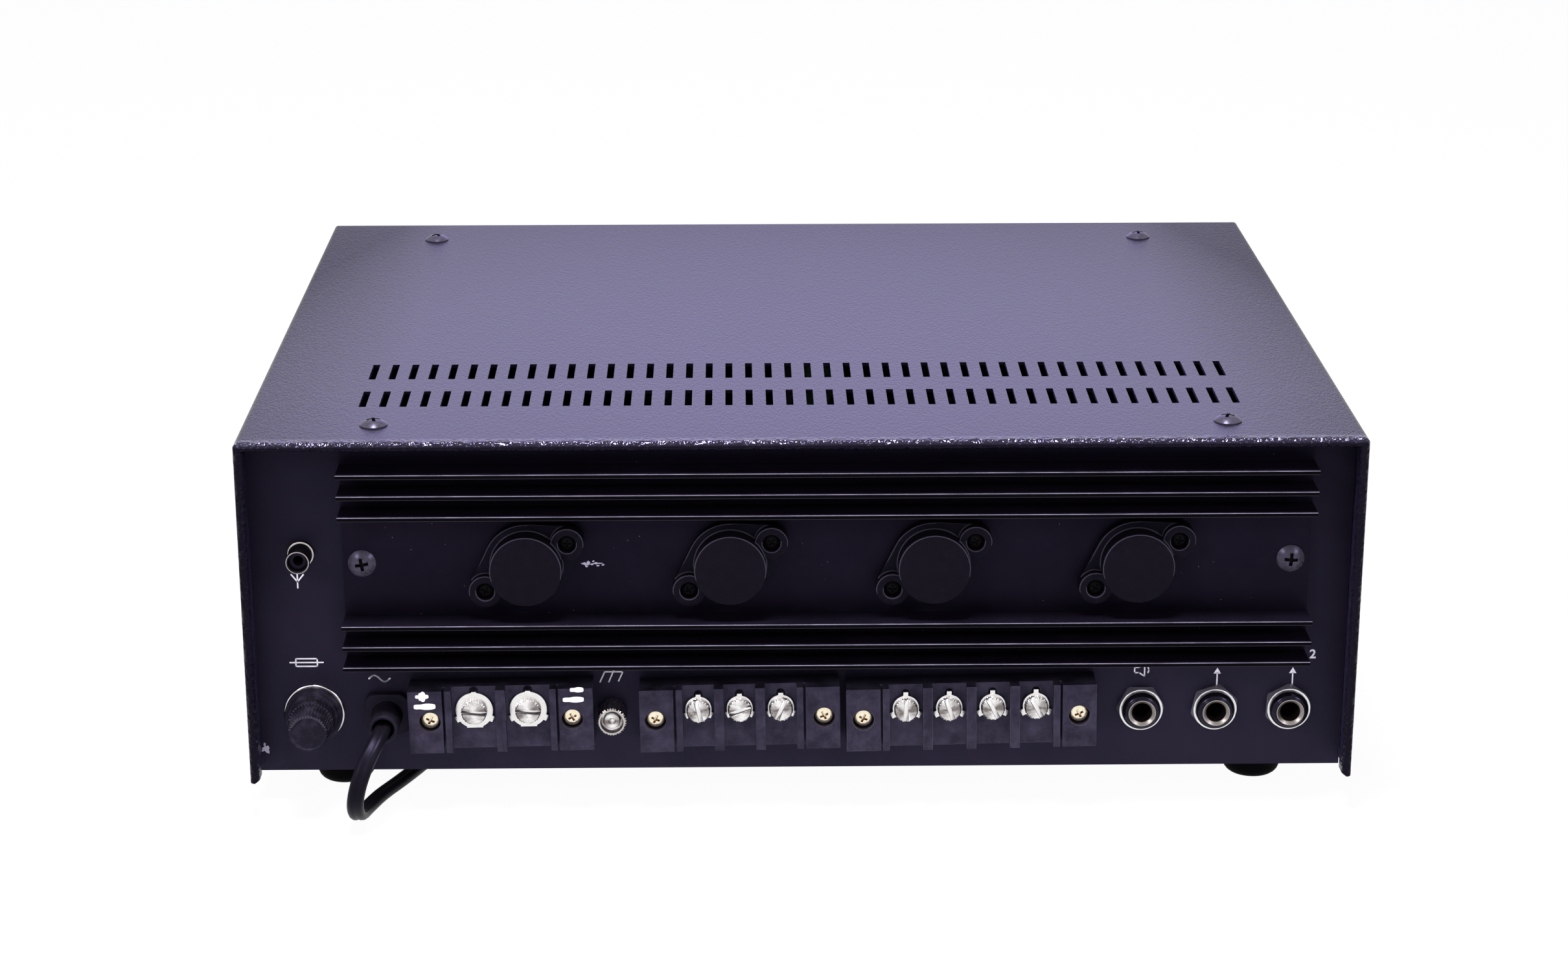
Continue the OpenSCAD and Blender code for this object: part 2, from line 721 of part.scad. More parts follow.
module antenna_socket() {
    color("silver") on_rear(-antenna_at, tray_z + antenna_rise) {
        difference() {
            union() {
                cylinder(d = antenna_d + 1.2, h = 1.5);
                cylinder(d = antenna_d, h = antenna_reach);
                translate([0, 0, -antenna_tail])
                    cylinder(d = antenna_bush_d - 2 * neck_room, h = antenna_tail + cut);
            }
            translate([0, 0, antenna_floor]) cylinder(d = antenna_inner_d, h = antenna_reach);
            translate([0, 0, -antenna_tail - cut])
                cylinder(d = antenna_core_d, h = antenna_tail + antenna_reach);
        }
        translate([0, 0, -sheet - antenna_nut_t]) difference() {
            cylinder(d = antenna_nut_d, h = antenna_nut_t, $fn = 6);
            translate([0, 0, -cut]) cylinder(d = antenna_bush_d, h = antenna_nut_t + 2 * cut);
        }
    }
}

module antenna_insulator() {
    tail = antenna_tail + 2;
    color("#1c1c1e") on_rear(-antenna_at, tray_z + antenna_rise) difference() {
        union() {
            translate([0, 0, antenna_floor])
                cylinder(d = antenna_inner_d - 2 * run_fit, h = antenna_reach - 2 * antenna_floor);
            translate([0, 0, -tail])
                cylinder(d = antenna_core_d - 2 * neck_room, h = tail + antenna_floor + cut);
        }
        translate([0, 0, -4]) cylinder(d = antenna_pin_d, h = antenna_reach + 4);
    }
}

module fuse_holder() {
    color("#19181b") on_rear(-fuse_at, row_z) difference() {
        union() {
            translate([0, 0, -fuse_barrel_l])
                cylinder(d = fuse_barrel_d - 2 * neck_room, h = fuse_barrel_l + fuse_ring_t + cut);
            translate([0, 0, fuse_ring_t]) cylinder(d = fuse_flange_d, h = 2);
            translate([0, 0, fuse_ring_t]) cylinder(d = fuse_step_d, h = fuse_flange_t - fuse_ring_t);
        }
        translate([0, 0, 2 - fuse_barrel_l]) cylinder(d = fuse_bore_d, h = fuse_barrel_l + fuse_flange_t);
    }
}

module fuse_ring() {
    color("#d8d8da") on_rear(-fuse_at, row_z) difference() {
        cylinder(d = fuse_ring_d, h = fuse_ring_t);
        translate([0, 0, -cut]) cylinder(d = fuse_barrel_d, h = fuse_ring_t + 2 * cut);
    }
}

module fuse_cap() {
    base = fuse_flange_t + 0.2;
    grip_z = base + fuse_collar_t;
    color("#201f23") on_rear(-fuse_at, row_z) difference() {
        union() {
            translate([0, 0, base]) cylinder(d = fuse_collar_d, h = fuse_collar_t);
            translate([0, 0, grip_z])
                cylinder(d1 = fuse_tip_d + 1.2, d2 = fuse_tip_d, h = fuse_reach - grip_z);
            translate([0, 0, -fuse_stub]) cylinder(d = fuse_bore_d - 2 * run_fit, h = fuse_stub + base + cut);
        }
        translate([0, 0, -fuse_stub - cut]) cylinder(d = cartridge_d + 2 * run_fit, h = fuse_socket + cut);
    }
}

module fuse_cartridge() {
    color("#c9c9c4") on_rear(-fuse_at, row_z) translate([0, 0, fuse_socket - fuse_stub - cartridge_l])
        cylinder(d = cartridge_d, h = cartridge_l);
}

// Square with rounded corners, on its middle
module round_square(w, r) {
    square([w, w - 2 * r], center = true);
    square([w - 2 * r, w], center = true);
    for (x = [-1, 1], y = [-1, 1]) translate([x * (w / 2 - r), y * (w / 2 - r)]) circle(r);
}

module cord_bushing() {
    nose_l = bushing_reach - bushing_flange_t;
    color("#151417") on_rear(-bushing_u, row_z) difference() {
        union() {
            linear_extrude(bushing_flange_t) round_square(bushing_w, bushing_w / 4);
            translate([0, 0, bushing_flange_t])
                cylinder(d1 = bushing_nose_d + 0.8, d2 = bushing_nose_d, h = nose_l);
            translate([0, 0, -bushing_tail])
                cylinder(d = bushing_neck_d - 2 * neck_room, h = bushing_tail + cut);
            translate([0, 0, -bushing_tail])
                cylinder(d = bushing_neck_d + 1.4, h = bushing_tail - sheet - neck_room);
        }
        cylinder(d = bushing_hole_d, h = bushing_reach + cut);
    }
}

module ground_post() {
    color("#c8c4bb") on_rear(-ground_u, row_z) {
        difference() {
            union() {
                translate([0, 0, -ground_tail]) cylinder(d = ground_d, h = ground_tail + ground_reach);
                cylinder(d = ground_nut_d - 0.6, h = ground_base_t);
            }
            translate([0, 0, ground_reach - 2.3]) cylinder(d = 2.2, h = 4);
        }
        translate([0, 0, -sheet - ground_lock_t]) difference() {
            cylinder(d = 2 * ground_d, h = ground_lock_t, $fn = 6);
            translate([0, 0, -cut]) cylinder(d = ground_d + 2 * run_fit, h = ground_lock_t + 2 * cut);
        }
    }
}

module ground_thumb_nut() {
    color("#d9d5cc") on_rear(-ground_u, row_z) translate([0, 0, ground_base_t + 0.1]) difference() {
        cylinder(d = ground_nut_d, h = ground_nut_l);
        translate([0, 0, -cut]) cylinder(d = ground_d + 2 * run_fit, h = ground_nut_l + 2 * cut);
        translate([0, 0, ground_nut_l - 2.6]) cylinder(d = ground_nut_d - 1.8, h = 4);
    }
}

module jack_bodies() {
    neck_d = jack_thread_d - 2 * neck_room;
    color("#18171a") at_jacks() difference() {
        union() {
            translate([-jack_box[0] / 2, -jack_box[1] / 2, -sheet - jack_box[2]]) cube(jack_box);
            translate([0, 0, -sheet - cut]) cylinder(d = neck_d, h = jack_reach - jack_round + sheet + cut);
            translate([0, 0, jack_reach - jack_round]) rotate_extrude() intersection() {
                union() {
                    square([neck_d / 2 - jack_round, jack_round]);
                    translate([neck_d / 2 - jack_round, 0]) circle(jack_round);
                }
                square([neck_d, jack_round]);
            }
        }
        translate([0, 0, -jack_depth]) cylinder(d = jack_sleeve_d, h = jack_reach + jack_depth + cut);
        translate([0, 0, -sheet - jack_box[2] + 2]) cylinder(d = jack_hole_d + 0.4, h = jack_box[2]);
    }
}

module jack_sleeves() {
    color("#cfcac2") at_jacks() translate([0, 0, -jack_depth]) difference() {
        cylinder(d = jack_sleeve_d - 2 * run_fit, h = jack_reach + jack_depth + 0.2);
        translate([0, 0, -cut]) cylinder(d = jack_hole_d, h = jack_reach + jack_depth + 4);
        translate([0, 0, jack_reach + jack_depth + 0.2 - jack_funnel])
            cylinder(d1 = jack_hole_d, d2 = jack_hole_d + 2.5 * jack_funnel, h = jack_funnel + 0.01);
    }
}

module jack_nuts() {
    color("#d6d2ca") for (i = [0 : 2])
        on_rear(jack_u + i * jack_pitch, row_z) rotate(jack_nut_turns[i]) difference() {
            cylinder(r = jack_nut_af / 2 / cos(30), h = jack_nut_t, $fn = 6);
            translate([0, 0, -cut]) cylinder(d = jack_thread_d, h = jack_nut_t + 2 * cut);
        }
}

// Moulded block with a bay for each pole and a counterbored hole in each end
module terminal_block(b) {
    w = block_w(b);
    bay_w = b[2] - rib_w;
    bay_edge = (b[1] * b[2] - rib_w) / 2 + outer_rib;
    color("#222127") on_block(b, 0, 0) difference() {
        translate([-w / 2, -block_h / 2, 0]) cube([w, block_h, block_t]);
        for (i = [0 : b[1] - 1]) translate([pole_x(b, i), 0, 0]) {
            translate([-bay_w / 2, -block_h / 2 - cut, pad_t]) cube([bay_w, block_h + 2 * cut, bay_t + cut]);
            translate([0, terminal_lift, -cut]) cylinder(d = insert_d + 2 * run_fit, h = block_t);
            translate([0, terminal_lift + b[4] / 2 - 0.4, pad_t - notch_t]) linear_extrude(2) {
                translate([-notch_w / 2, 0]) square([notch_w, 0.9]);
                translate([0, 0.9]) circle(notch_w / 2);
            }
        }
        for (s = [-1, 1]) {
            translate([s * (bay_edge + end_groove / 2) - end_groove / 2, -block_h / 2 - cut, pad_t])
                cube([end_groove, block_h + 2 * cut, bay_t + cut]);
            translate([s * end_x(b), 0, -cut]) cylinder(d = block_screw_d + 2 * screw_room, h = block_t);
            translate([s * end_x(b), 0, block_t - counterbore_t]) cylinder(d = counterbore_d, h = block_t);
        }
    }
}

module dc_terminal_block() {
    terminal_block(DC);
}

module speaker_terminal_block() {
    terminal_block(SPEAKER);
}

module line_terminal_block() {
    terminal_block(LINE);
}

module terminal_block_screws() {
    color("#c9a45a") for (b = BLOCKS, s = [-1, 1])
        on_block(b, s * end_x(b), 0) translate([0, 0, block_t - counterbore_t]) rotate(25 * s)
            cross_screw(block_screw_d, block_t + sheet + 0.5, block_screw_head_d, block_screw_head_h);
}

// Threaded inserts under the pads, each with a solder lug through the panel
module terminal_tags() {
    color("#cbb27a") for (b = BLOCKS, i = [0 : b[1] - 1])
        on_block(b, pole_x(b, i), terminal_lift) difference() {
            union() {
                cylinder(d = insert_d, h = pad_t);
                translate([-lug_size[0] / 2, -lug_size[1] / 2, cut - lug_size[2]]) cube(lug_size);
            }
            translate([0, 0, 0.5]) cylinder(d = terminal_screw_d + 2 * run_fit, h = pad_t);
        }
}

// Screw of pole i, its slot turned by a degrees
module terminal_screw(b, i, a) {
    head_z = pad_t + clamp_t;
    color("#d9d4cc") on_block(b, pole_x(b, i), terminal_lift) translate([0, 0, head_z]) difference() {
        union() {
            cylinder(d = b[3], h = terminal_head_h);
            translate([0, 0, -terminal_screw_l]) cylinder(d = terminal_screw_d, h = terminal_screw_l + cut);
        }
        rotate(a) translate([-b[3], -slot_cut_w / 2, terminal_head_h / 2]) cube([2 * b[3], slot_cut_w, 2]);
    }
}

// Clamp plate of pole i: round, with a tab into the block's notch, two side tabs and a short flat lip
module clamp_plate(b, i) {
    r = b[4] / 2;
    side = b[2] - rib_w - 0.6;
    color("#e2ded6") on_block(b, pole_x(b, i), terminal_lift) translate([0, 0, pad_t]) linear_extrude(clamp_t)
        difference() {
            intersection() {
                union() {
                    circle(r);
                    translate([-0.8, 0]) square([1.6, r + b[6]]);
                    translate([-0.22 * b[4], -r]) square([0.44 * b[4], r]);
                    for (s = [-1, 1])
                        rotate(s < 0 ? 208 : -28) translate([0, -1.1]) square([r + b[5], 2.2]);
                }
                translate([-side / 2, -0.98 * r]) square([side, 3 * r]);
            }
            circle(d = terminal_screw_d + 2 * run_fit);
        }
}

module mains_transformer() {
    color("#6d6a66") translate([transformer_at[0], transformer_at[1], tray_z + sheet]) {
        translate([-core_size[0] / 2, -core_size[1] / 2, 0]) cube(core_size);
        translate([-winding_size[0] / 2, -winding_size[1] / 2, (core_size[2] - winding_size[2]) / 2])
            cube(winding_size);
    }
}

module amplifier_board() {
    color("#3f6b45") translate([board_at[0], board_at[1], tray_z + sheet + standoff_h]) {
        translate([-board_size[0] / 2, -board_size[1] / 2, 0]) cube(board_size);
        for (x = [-1, 1], y = [-1, 1])
            translate([x * (board_size[0] / 2 - standoff_d), y * (board_size[1] / 2 - standoff_d),
                       -standoff_h])
                cylinder(d = standoff_d, h = standoff_h);
        for (k = [-1, 0, 1])
            translate([k * board_step - board_block[0], board_block[1] / 2, board_size[2]]) cube(board_block);
    }
}

module reservoir_capacitors() {
    step = capacitor_d + capacitor_gap;
    edge_y = board_at[1] - board_size[1] / 2;
    color("#31415e") for (x = [board_at[0] - capacitor_d, board_at[0] - capacitor_d + step])
        translate([x, edge_y + capacitor_d, tray_z + sheet + standoff_h + board_size[2]])
            cylinder(d = capacitor_d, h = capacitor_h);
}

module control_pots() {
    color("#a7a39a") for (i = [0 : knob_count - 1])
        on_front(knob_u(i), knob_z) {
            translate([0, 0, -sheet - pot_l]) cylinder(d = pot_d, h = pot_l);
            translate([0, 0, -sheet - cut]) cylinder(d = pot_bush_d - 0.2, h = sheet + fascia_t + cut);
            cylinder(d = shaft_d, h = shaft_reach);
        }
}

// Level knob: skirt, tapered grip and a blind bore that turns on the pot's shaft
module level_knob(i) {
    skirt = 4;
    bore_l = shaft_reach - fascia_t - knob_gap + 0.2;
    color("#1f1e22") on_front(knob_u(i), knob_z) translate([0, 0, fascia_t + knob_gap]) difference() {
        union() {
            cylinder(d = knob_d, h = skirt);
            cylinder(d1 = knob_d - 4, d2 = knob_d - 6, h = knob_l);
        }
        translate([0, 0, -cut]) cylinder(d = shaft_d + 2 * run_fit, h = bore_l + cut);
    }
}

module switch_frame() {
    open_w = rocker_w + 0.6;
    open_h = rocker_h + 0.2;
    color("#1a191c") on_front(rocker_u, knob_z) difference() {
        union() {
            translate([0, 0, fascia_t]) linear_extrude(1.5)
                square([rocker_cut_w + 2 * rocker_frame_w, rocker_cut_h + 2 * rocker_frame_w], center = true);
            translate([0, 0, -switch_depth]) linear_extrude(switch_depth + fascia_t)
                square([rocker_cut_w - 2 * neck_room, rocker_cut_h - 2 * neck_room], center = true);
        }
        translate([0, 0, 4 - switch_depth]) linear_extrude(switch_depth + fascia_t)
            square([open_w, open_h], center = true);
    }
}

module power_rocker() {
    color("#8e1c1a") on_front(rocker_u, knob_z) translate([0, 0, rocker_pivot]) rotate([rocker_throw, 0, 0])
        rotate([90, 0, 90]) linear_extrude(rocker_w, center = true) intersection() {
            circle(rocker_r);
            polygon([[-rocker_h, 6.2], [0, 3], [rocker_h, 6.2], [rocker_h, -4], [-rocker_h, -4]]);
        }
}

module pilot_lamp() {
    d = lamp_d - 0.1;
    color("#b03428") on_front(lamp_u, lamp_z) {
        translate([0, 0, -sheet - 4]) cylinder(d = d, h = sheet + fascia_t + 4);
        translate([0, 0, fascia_t]) sphere(d = d);
        translate([0, 0, -sheet - 1.5]) cylinder(d = d + 1, h = 1.5);
    }
}

// Cord geometry: an oval section swept along points, with a width direction for each point
function unit(v) = v / norm(v);
function tangent(p, i) = unit(p[min(i + 1, len(p) - 1)] - p[max(i - 1, 0)]);
function square_to(w, t) = unit(w - (w * t) * t);
function section(p, t, w, n) = [for (k = [0 : n - 1])
    p + cord_w / 2 * cos(360 * k / n) * w + cord_t / 2 * sin(360 * k / n) * cross(t, w)];
function side_faces(m, n) = [for (i = [0 : m - 2], k = [0 : n - 1], half = [0, 1])
    let (a = i * n + k, b = i * n + (k + 1) % n)
    half == 0 ? [a, a + n, b + n] : [a, b + n, b]];
function end_faces(m, n) = [for (k = [1 : n - 2], end = [0, 1])
    end == 0 ? [0, k, k + 1] : [(m - 1) * n, (m - 1) * n + k + 1, (m - 1) * n + k]];

module cord_tube(p, w, n) {
    m = len(p);
    rings = [for (i = [0 : m - 1]) let (t = tangent(p, i)) section(p[i], t, square_to(w[i], t), n)];
    polyhedron(points = [for (ring = rings) each ring], faces = concat(side_faces(m, n), end_faces(m, n)));
}

// Turns of the coil: s degrees along it, spiralling in on the lower layer and out again on the upper one
function coil_radius(s) = s < reverse_at ? coil_outer - coil_step * s / 360
                                         : coil_inner + coil_step * (s - reverse_at) / 360;
function coil_height(s) = coil_z + layer_step * min(max((s - climb_from) / climb_arc, 0), 1);
function coil_point(s) = [coil_x + coil_radius(s) * cos(s), coil_y - coil_radius(s) * sin(s), coil_height(s)];
coil_last = coil_point(coil_end);
coil_points = concat([[lead_x, coil_y + cord_w, coil_z]],
                     [for (s = [0 : ring_step : coil_end]) coil_point(s)],
                     [coil_last + [cord_w, 0, 0]]);

// Least room between turns half a loop or more apart
half_loop = 180 / ring_step;
function turn_gap(a, b) = max(abs(a[2] - b[2]) - cord_w, norm([a[0] - b[0], a[1] - b[1]]) - cord_t);
coil_gap = min([for (i = [0 : len(coil_points) - 1], j = [i + half_loop : 1 : len(coil_points) - 1])
    turn_gap(coil_points[i], coil_points[j])]);
echo(least_gap_between_coil_turns = coil_gap);

tail_points = [for (x = [coil_x + cord_w, coil_x + 14, coil_x + 23, coil_x + 32, lead_x + 2, plug_x])
    [x, coil_last[1], coil_last[2]]];

function run_length(p) = [for (i = [1 : len(p) - 1]) norm(p[i] - p[i - 1])] * [for (i = [1 : len(p) - 1]) 1];
echo(cord_length = run_length(lead_points) + run_length(coil_points) + run_length(tail_points));

// Width direction of lead point i: level, then turned on edge before the coil
function lead_width(i) = let (a = 90 * max(i - len(lead_points) + 1 + turn_over, 0) / turn_over)
    [cos(a), 0, sin(a)];

module mains_cord() {
    color("#17161a") {
        cord_tube(lead_points, [for (i = [0 : len(lead_points) - 1]) lead_width(i)], 8);
        cord_tube(tail_points, [for (p = tail_points) [0, 0, 1]], 8);
    }
}

module cord_coil() {
    color("#17161a") cord_tube(coil_points, [for (p = coil_points) [0, 0, 1]], 6);
}

module cord_tie() {
    in_r = coil_inner - 0.6;
    out_r = coil_outer + 0.3;
    in_h = coil_z + layer_step + cord_w / 2 + 0.3;
    color("#2d2d30") translate([coil_x, coil_y, 0]) rotate(tie_angle) difference() {
        translate([in_r - tie_t, -tie_w / 2, 0]) cube([out_r - in_r + 2 * tie_t, tie_w, in_h + tie_t]);
        translate([in_r, -tie_w / 2 - cut, tie_t]) cube([out_r - in_r, tie_w + 2 * cut, in_h - tie_t]);
    }
}

module mains_plug() {
    color("#1b1a1d") translate([plug_x, coil_last[1], 0]) linear_extrude(plug_h)
        polygon([[0, -4], [10, -6], [18, -plug_w / 2], [plug_l, -plug_w / 2],
                 [plug_l, plug_w / 2], [18, plug_w / 2], [10, 6], [0, 4]]);
}

module plug_pins() {
    color("#d2c9a8") for (s = [-1, 1])
        translate([plug_x + plug_l, coil_last[1] + s * pin_span / 2, plug_h / 2]) rotate([0, 90, 0])
            cylinder(d = pin_d, h = pin_l);
}

chassis();
top_cover();
case_screws();
rubber_feet();
heatsink();
power_transistors();
transistor_covers();
transistor_screws();
antenna_socket();
antenna_insulator();
fuse_holder();
fuse_ring();
fuse_cap();
fuse_cartridge();
cord_bushing();
mains_cord();
cord_coil();
cord_tie();
mains_plug();
plug_pins();
dc_terminal_block();
speaker_terminal_block();
line_terminal_block();
terminal_block_screws();
terminal_tags();
terminal_screw(DC, 0, DC_SLOTS[0]);  // dc_screw_1
terminal_screw(DC, 1, DC_SLOTS[1]);  // dc_screw_2
terminal_screw(SPEAKER, 0, SPEAKER_SLOTS[0]);  // speaker_screw_1
terminal_screw(SPEAKER, 1, SPEAKER_SLOTS[1]);  // speaker_screw_2
terminal_screw(SPEAKER, 2, SPEAKER_SLOTS[2]);  // speaker_screw_3
terminal_screw(LINE, 0, LINE_SLOTS[0]);  // line_screw_1
terminal_screw(LINE, 1, LINE_SLOTS[1]);  // line_screw_2
terminal_screw(LINE, 2, LINE_SLOTS[2]);  // line_screw_3
terminal_screw(LINE, 3, LINE_SLOTS[3]);  // line_screw_4
clamp_plate(DC, 0);  // dc_clamp_1
clamp_plate(DC, 1);  // dc_clamp_2
clamp_plate(SPEAKER, 0);  // speaker_clamp_1
clamp_plate(SPEAKER, 1);  // speaker_clamp_2
clamp_plate(SPEAKER, 2);  // speaker_clamp_3
clamp_plate(LINE, 0);  // line_clamp_1
clamp_plate(LINE, 1);  // line_clamp_2
clamp_plate(LINE, 2);  // line_clamp_3
clamp_plate(LINE, 3);  // line_clamp_4
ground_post();
ground_thumb_nut();
jack_bodies();
jack_sleeves();
jack_nuts();
mains_transformer();
amplifier_board();
reservoir_capacitors();
control_pots();
front_panel();
level_knob(0);  // level_knob_1
level_knob(1);  // level_knob_2
level_knob(2);  // level_knob_3
level_knob(3);  // level_knob_4
switch_frame();
power_rocker();
pilot_lamp();
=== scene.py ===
"""Public address amplifier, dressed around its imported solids. Metres, +Z up, rear panel towards +Y."""
import math

import bmesh
import bpy
from mathutils import Euler, Matrix, Vector


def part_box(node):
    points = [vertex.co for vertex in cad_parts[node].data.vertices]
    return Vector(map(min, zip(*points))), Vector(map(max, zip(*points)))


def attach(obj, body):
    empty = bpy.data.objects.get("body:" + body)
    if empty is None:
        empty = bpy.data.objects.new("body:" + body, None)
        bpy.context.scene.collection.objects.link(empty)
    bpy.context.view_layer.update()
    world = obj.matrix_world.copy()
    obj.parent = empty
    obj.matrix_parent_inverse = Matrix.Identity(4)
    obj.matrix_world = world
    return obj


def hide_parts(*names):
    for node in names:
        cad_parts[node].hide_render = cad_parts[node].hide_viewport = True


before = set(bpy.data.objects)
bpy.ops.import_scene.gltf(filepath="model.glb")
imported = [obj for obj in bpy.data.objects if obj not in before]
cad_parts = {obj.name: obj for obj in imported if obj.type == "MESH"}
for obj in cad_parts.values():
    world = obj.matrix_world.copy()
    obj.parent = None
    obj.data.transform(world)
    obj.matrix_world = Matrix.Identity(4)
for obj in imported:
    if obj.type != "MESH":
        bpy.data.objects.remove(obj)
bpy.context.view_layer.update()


# Camera: it stands behind the amplifier and a little above it, with a long lens, as in the photograph.
# Its place, aim and lens, in pixels, were fitted to the corners of the case in a picture of 2420 x 1512.
picture_w, lens_px = 2420, 5063.1
bpy.context.scene.view_settings.view_transform = "Standard"
bpy.ops.object.camera_add(location=(0.02188, 1.10303, 0.42958))
camera = bpy.context.object
camera.rotation_euler = Vector((-0.0159, -0.9486, -0.3161)).to_track_quat("-Z", "Y").to_euler()
camera.data.sensor_fit = "HORIZONTAL"
camera.data.sensor_width = 36
camera.data.lens = camera.data.sensor_width * lens_px / picture_w
bpy.context.scene.camera = camera


# Mains cord: flat two-core lead with a soft black vinyl jacket and a groove between its cores.
# It leaves the bushing, drops to the table, runs forwards under the tray and ends in a tied coil
# and a moulded plug in front of the amplifier.
panel_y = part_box("chassis")[1].y
bushing_x, row_z = 0.1322, 0.031
cord_w, cord_t = 0.0054, 0.0034
coil_x, coil_y, coil_z = 0.0641, -0.19165, 0.0035
lead_route = [
    (132.2, 128.75, 31), (132.2, 135.75, 31), (132.5, 143, 30.7), (134, 149.5, 28.8), (136.6, 154.4, 24.4),
    (138.9, 156.8, 18.4), (140.4, 156, 12), (140.8, 152, 6.4), (140.4, 146, 2.8), (139, 138.5, 1.8),
    (135.5, 128, 1.8), (130, 116, 1.8), (124.5, 103, 1.8), (119.5, 89, 1.8), (115, 74, 1.8), (111.5, 59, 1.8),
    (108.5, 44, 1.8), (106, 29, 1.8), (104, 14, 1.8), (102.5, -1, 1.8), (101.3, -16, 1.8), (100.5, -31, 1.8),
    (100, -46, 1.8), (100, -61, 1.8), (100, -76, 1.8), (100, -91, 1.8), (100, -106, 1.8), (100, -120, 1.8),
    (100, -134, 2), (100, -148, 2.6), (100, -161, 3.2), (100, -173.65, 3.5), (100, -186.25, 3.5)]
lead_route = [Vector(point) / 1000 for point in lead_route]
turn_over = 5


def smooth_route(points, steps):
    """Points of a smooth curve through the given ones, and how far along them each one lies."""
    curve = []
    for i in range(len(points) - 1):
        before, after = points[max(i - 1, 0)], points[min(i + 2, len(points) - 1)]
        a, b = points[i], points[i + 1]
        for k in range(steps):
            t = k / steps
            curve.append((0.5 * (2 * a + (b - before) * t + (2 * before - 5 * a + 4 * b - after) * t ** 2
                                 + (3 * a - before - 3 * b + after) * t ** 3), i + t))
    return curve + [(points[-1], len(points) - 1)]


def coil_point(s):
    """Point of the coil s degrees along it: inwards on the lower layer, outwards on the upper one."""
    radius = 0.0359 - 0.0046 * s / 360 if s < 1080 else 0.0221 + 0.0046 * (s - 1080) / 360
    climb = min(max((s - 1050) / 60, 0), 1)
    a = math.radians(s)
    return Vector((coil_x + radius * math.cos(a), coil_y - radius * math.sin(a),
                   coil_z + 0.006 * climb * climb * (3 - 2 * climb)))


cord_path, cord_width = [], []
for point, along in smooth_route(lead_route, 3):
    edge = math.radians(90 * max(along - (len(lead_route) - 1 - turn_over), 0) / turn_over)
    cord_path.append(point)
    cord_width.append(Vector((math.cos(edge), 0, math.sin(edge))))
cord_path += [coil_point(s * 7.5) for s in range(277)]
cord_path += [Vector((coil_x + x / 1000, cord_path[-1].y, coil_z + 0.006))
              for x in (5.4, 14, 23, 32, 38, 45.9)]
cord_width += [Vector((0, 0, 1))] * (len(cord_path) - len(cord_width))

# Outline of the jacket: two round cores side by side, which leaves a groove along both flats
lobe_r, lobe_x = cord_t / 2, (cord_w - cord_t) / 2
lobe_end = math.pi - math.acos(lobe_x / lobe_r)
jacket = []
for side in (1, -1):
    for k in range(9):
        a = lobe_end * (2 * k / 9 - 1)
        jacket.append((side * (lobe_x + lobe_r * math.cos(a)), side * lobe_r * math.sin(a)))
verts = []
for i, point in enumerate(cord_path):
    tangent = (cord_path[min(i + 1, len(cord_path) - 1)] - cord_path[max(i - 1, 0)]).normalized()
    across = (cord_width[i] - tangent * cord_width[i].dot(tangent)).normalized()
    verts += [point + across * x + tangent.cross(across) * y for x, y in jacket]
n = len(jacket)
faces = [(i * n + k, i * n + (k + 1) % n, (i + 1) * n + (k + 1) % n, (i + 1) * n + k)
         for i in range(len(cord_path) - 1) for k in range(n)]
faces += [tuple(range(n - 1, -1, -1)), tuple(range(len(verts) - n, len(verts)))]
cord_mesh = bpy.data.meshes.new("cord")
cord_mesh.from_pydata(verts, [], faces)
cord = bpy.data.objects.new("flat_cord", cord_mesh)
bpy.context.scene.collection.objects.link(cord)


def linear(code):
    """Linear colour of an sRGB hex value."""
    parts = [int(code[i:i + 2], 16) / 255 for i in (1, 3, 5)]
    return tuple(c / 12.92 if c <= 0.04045 else ((c + 0.055) / 1.055) ** 2.4 for c in parts) + (1.0,)


def add(tree, kind, inputs={}, shader_input=None, **settings):
    """Add a node with its settings and with each input set to a value or linked to an output.
    Its first output in use is given back, and linked to an input of the shader if one is named."""
    node = tree.nodes.new("ShaderNode" + kind)
    for name, value in settings.items():
        setattr(node, name, value)
    for key, value in inputs.items():
        if isinstance(value, bpy.types.NodeSocket):
            tree.links.new(value, node.inputs[key])
        else:
            node.inputs[key].default_value = linear(value) if isinstance(value, str) else value
    output = next(socket for socket in node.outputs if socket.enabled)
    if shader_input:
        tree.links.new(output, tree.nodes["Principled BSDF"].inputs[shader_input])
    return output


def start_material(name, **sockets):
    """New material with constants on its shader. Gives it with its node tree and Object coordinates."""
    material = bpy.data.materials.new(name)
    material.use_nodes = True
    tree = material.node_tree
    for socket, value in sockets.items():
        value = linear(value) if isinstance(value, str) else value
        tree.nodes["Principled BSDF"].inputs[socket.replace("_", " ")].default_value = value
    return material, tree, add(tree, "TexCoord").node.outputs["Object"]


def mottled(name, grain, dark, light, smooth, rough, bump=0.0, depth=0.0003, detail=5.0, harsh=0.5,
            fine=None, **sockets):
    """New material whose colour, roughness and relief follow one noise, with a grain in millimetres.
    Its relief follows a finer noise instead if the grain and the detail of one are given."""
    material, tree, place = start_material(name, **sockets)
    blotch = add(tree, "TexNoise", {"Vector": place, "Scale": 1000 / grain, "Detail": detail,
                                    "Roughness": harsh})
    add(tree, "Mix", {0: blotch, 6: dark, 7: light}, "Base Color", data_type="RGBA")
    add(tree, "MapRange", {"Value": blotch, "To Min": smooth, "To Max": rough}, "Roughness")
    if fine:
        blotch = add(tree, "TexNoise", {"Vector": place, "Scale": 1000 / fine[0], "Detail": fine[1]})
    if bump:
        add(tree, "Bump", {"Height": blotch, "Strength": bump, "Distance": depth}, "Normal")
    return material


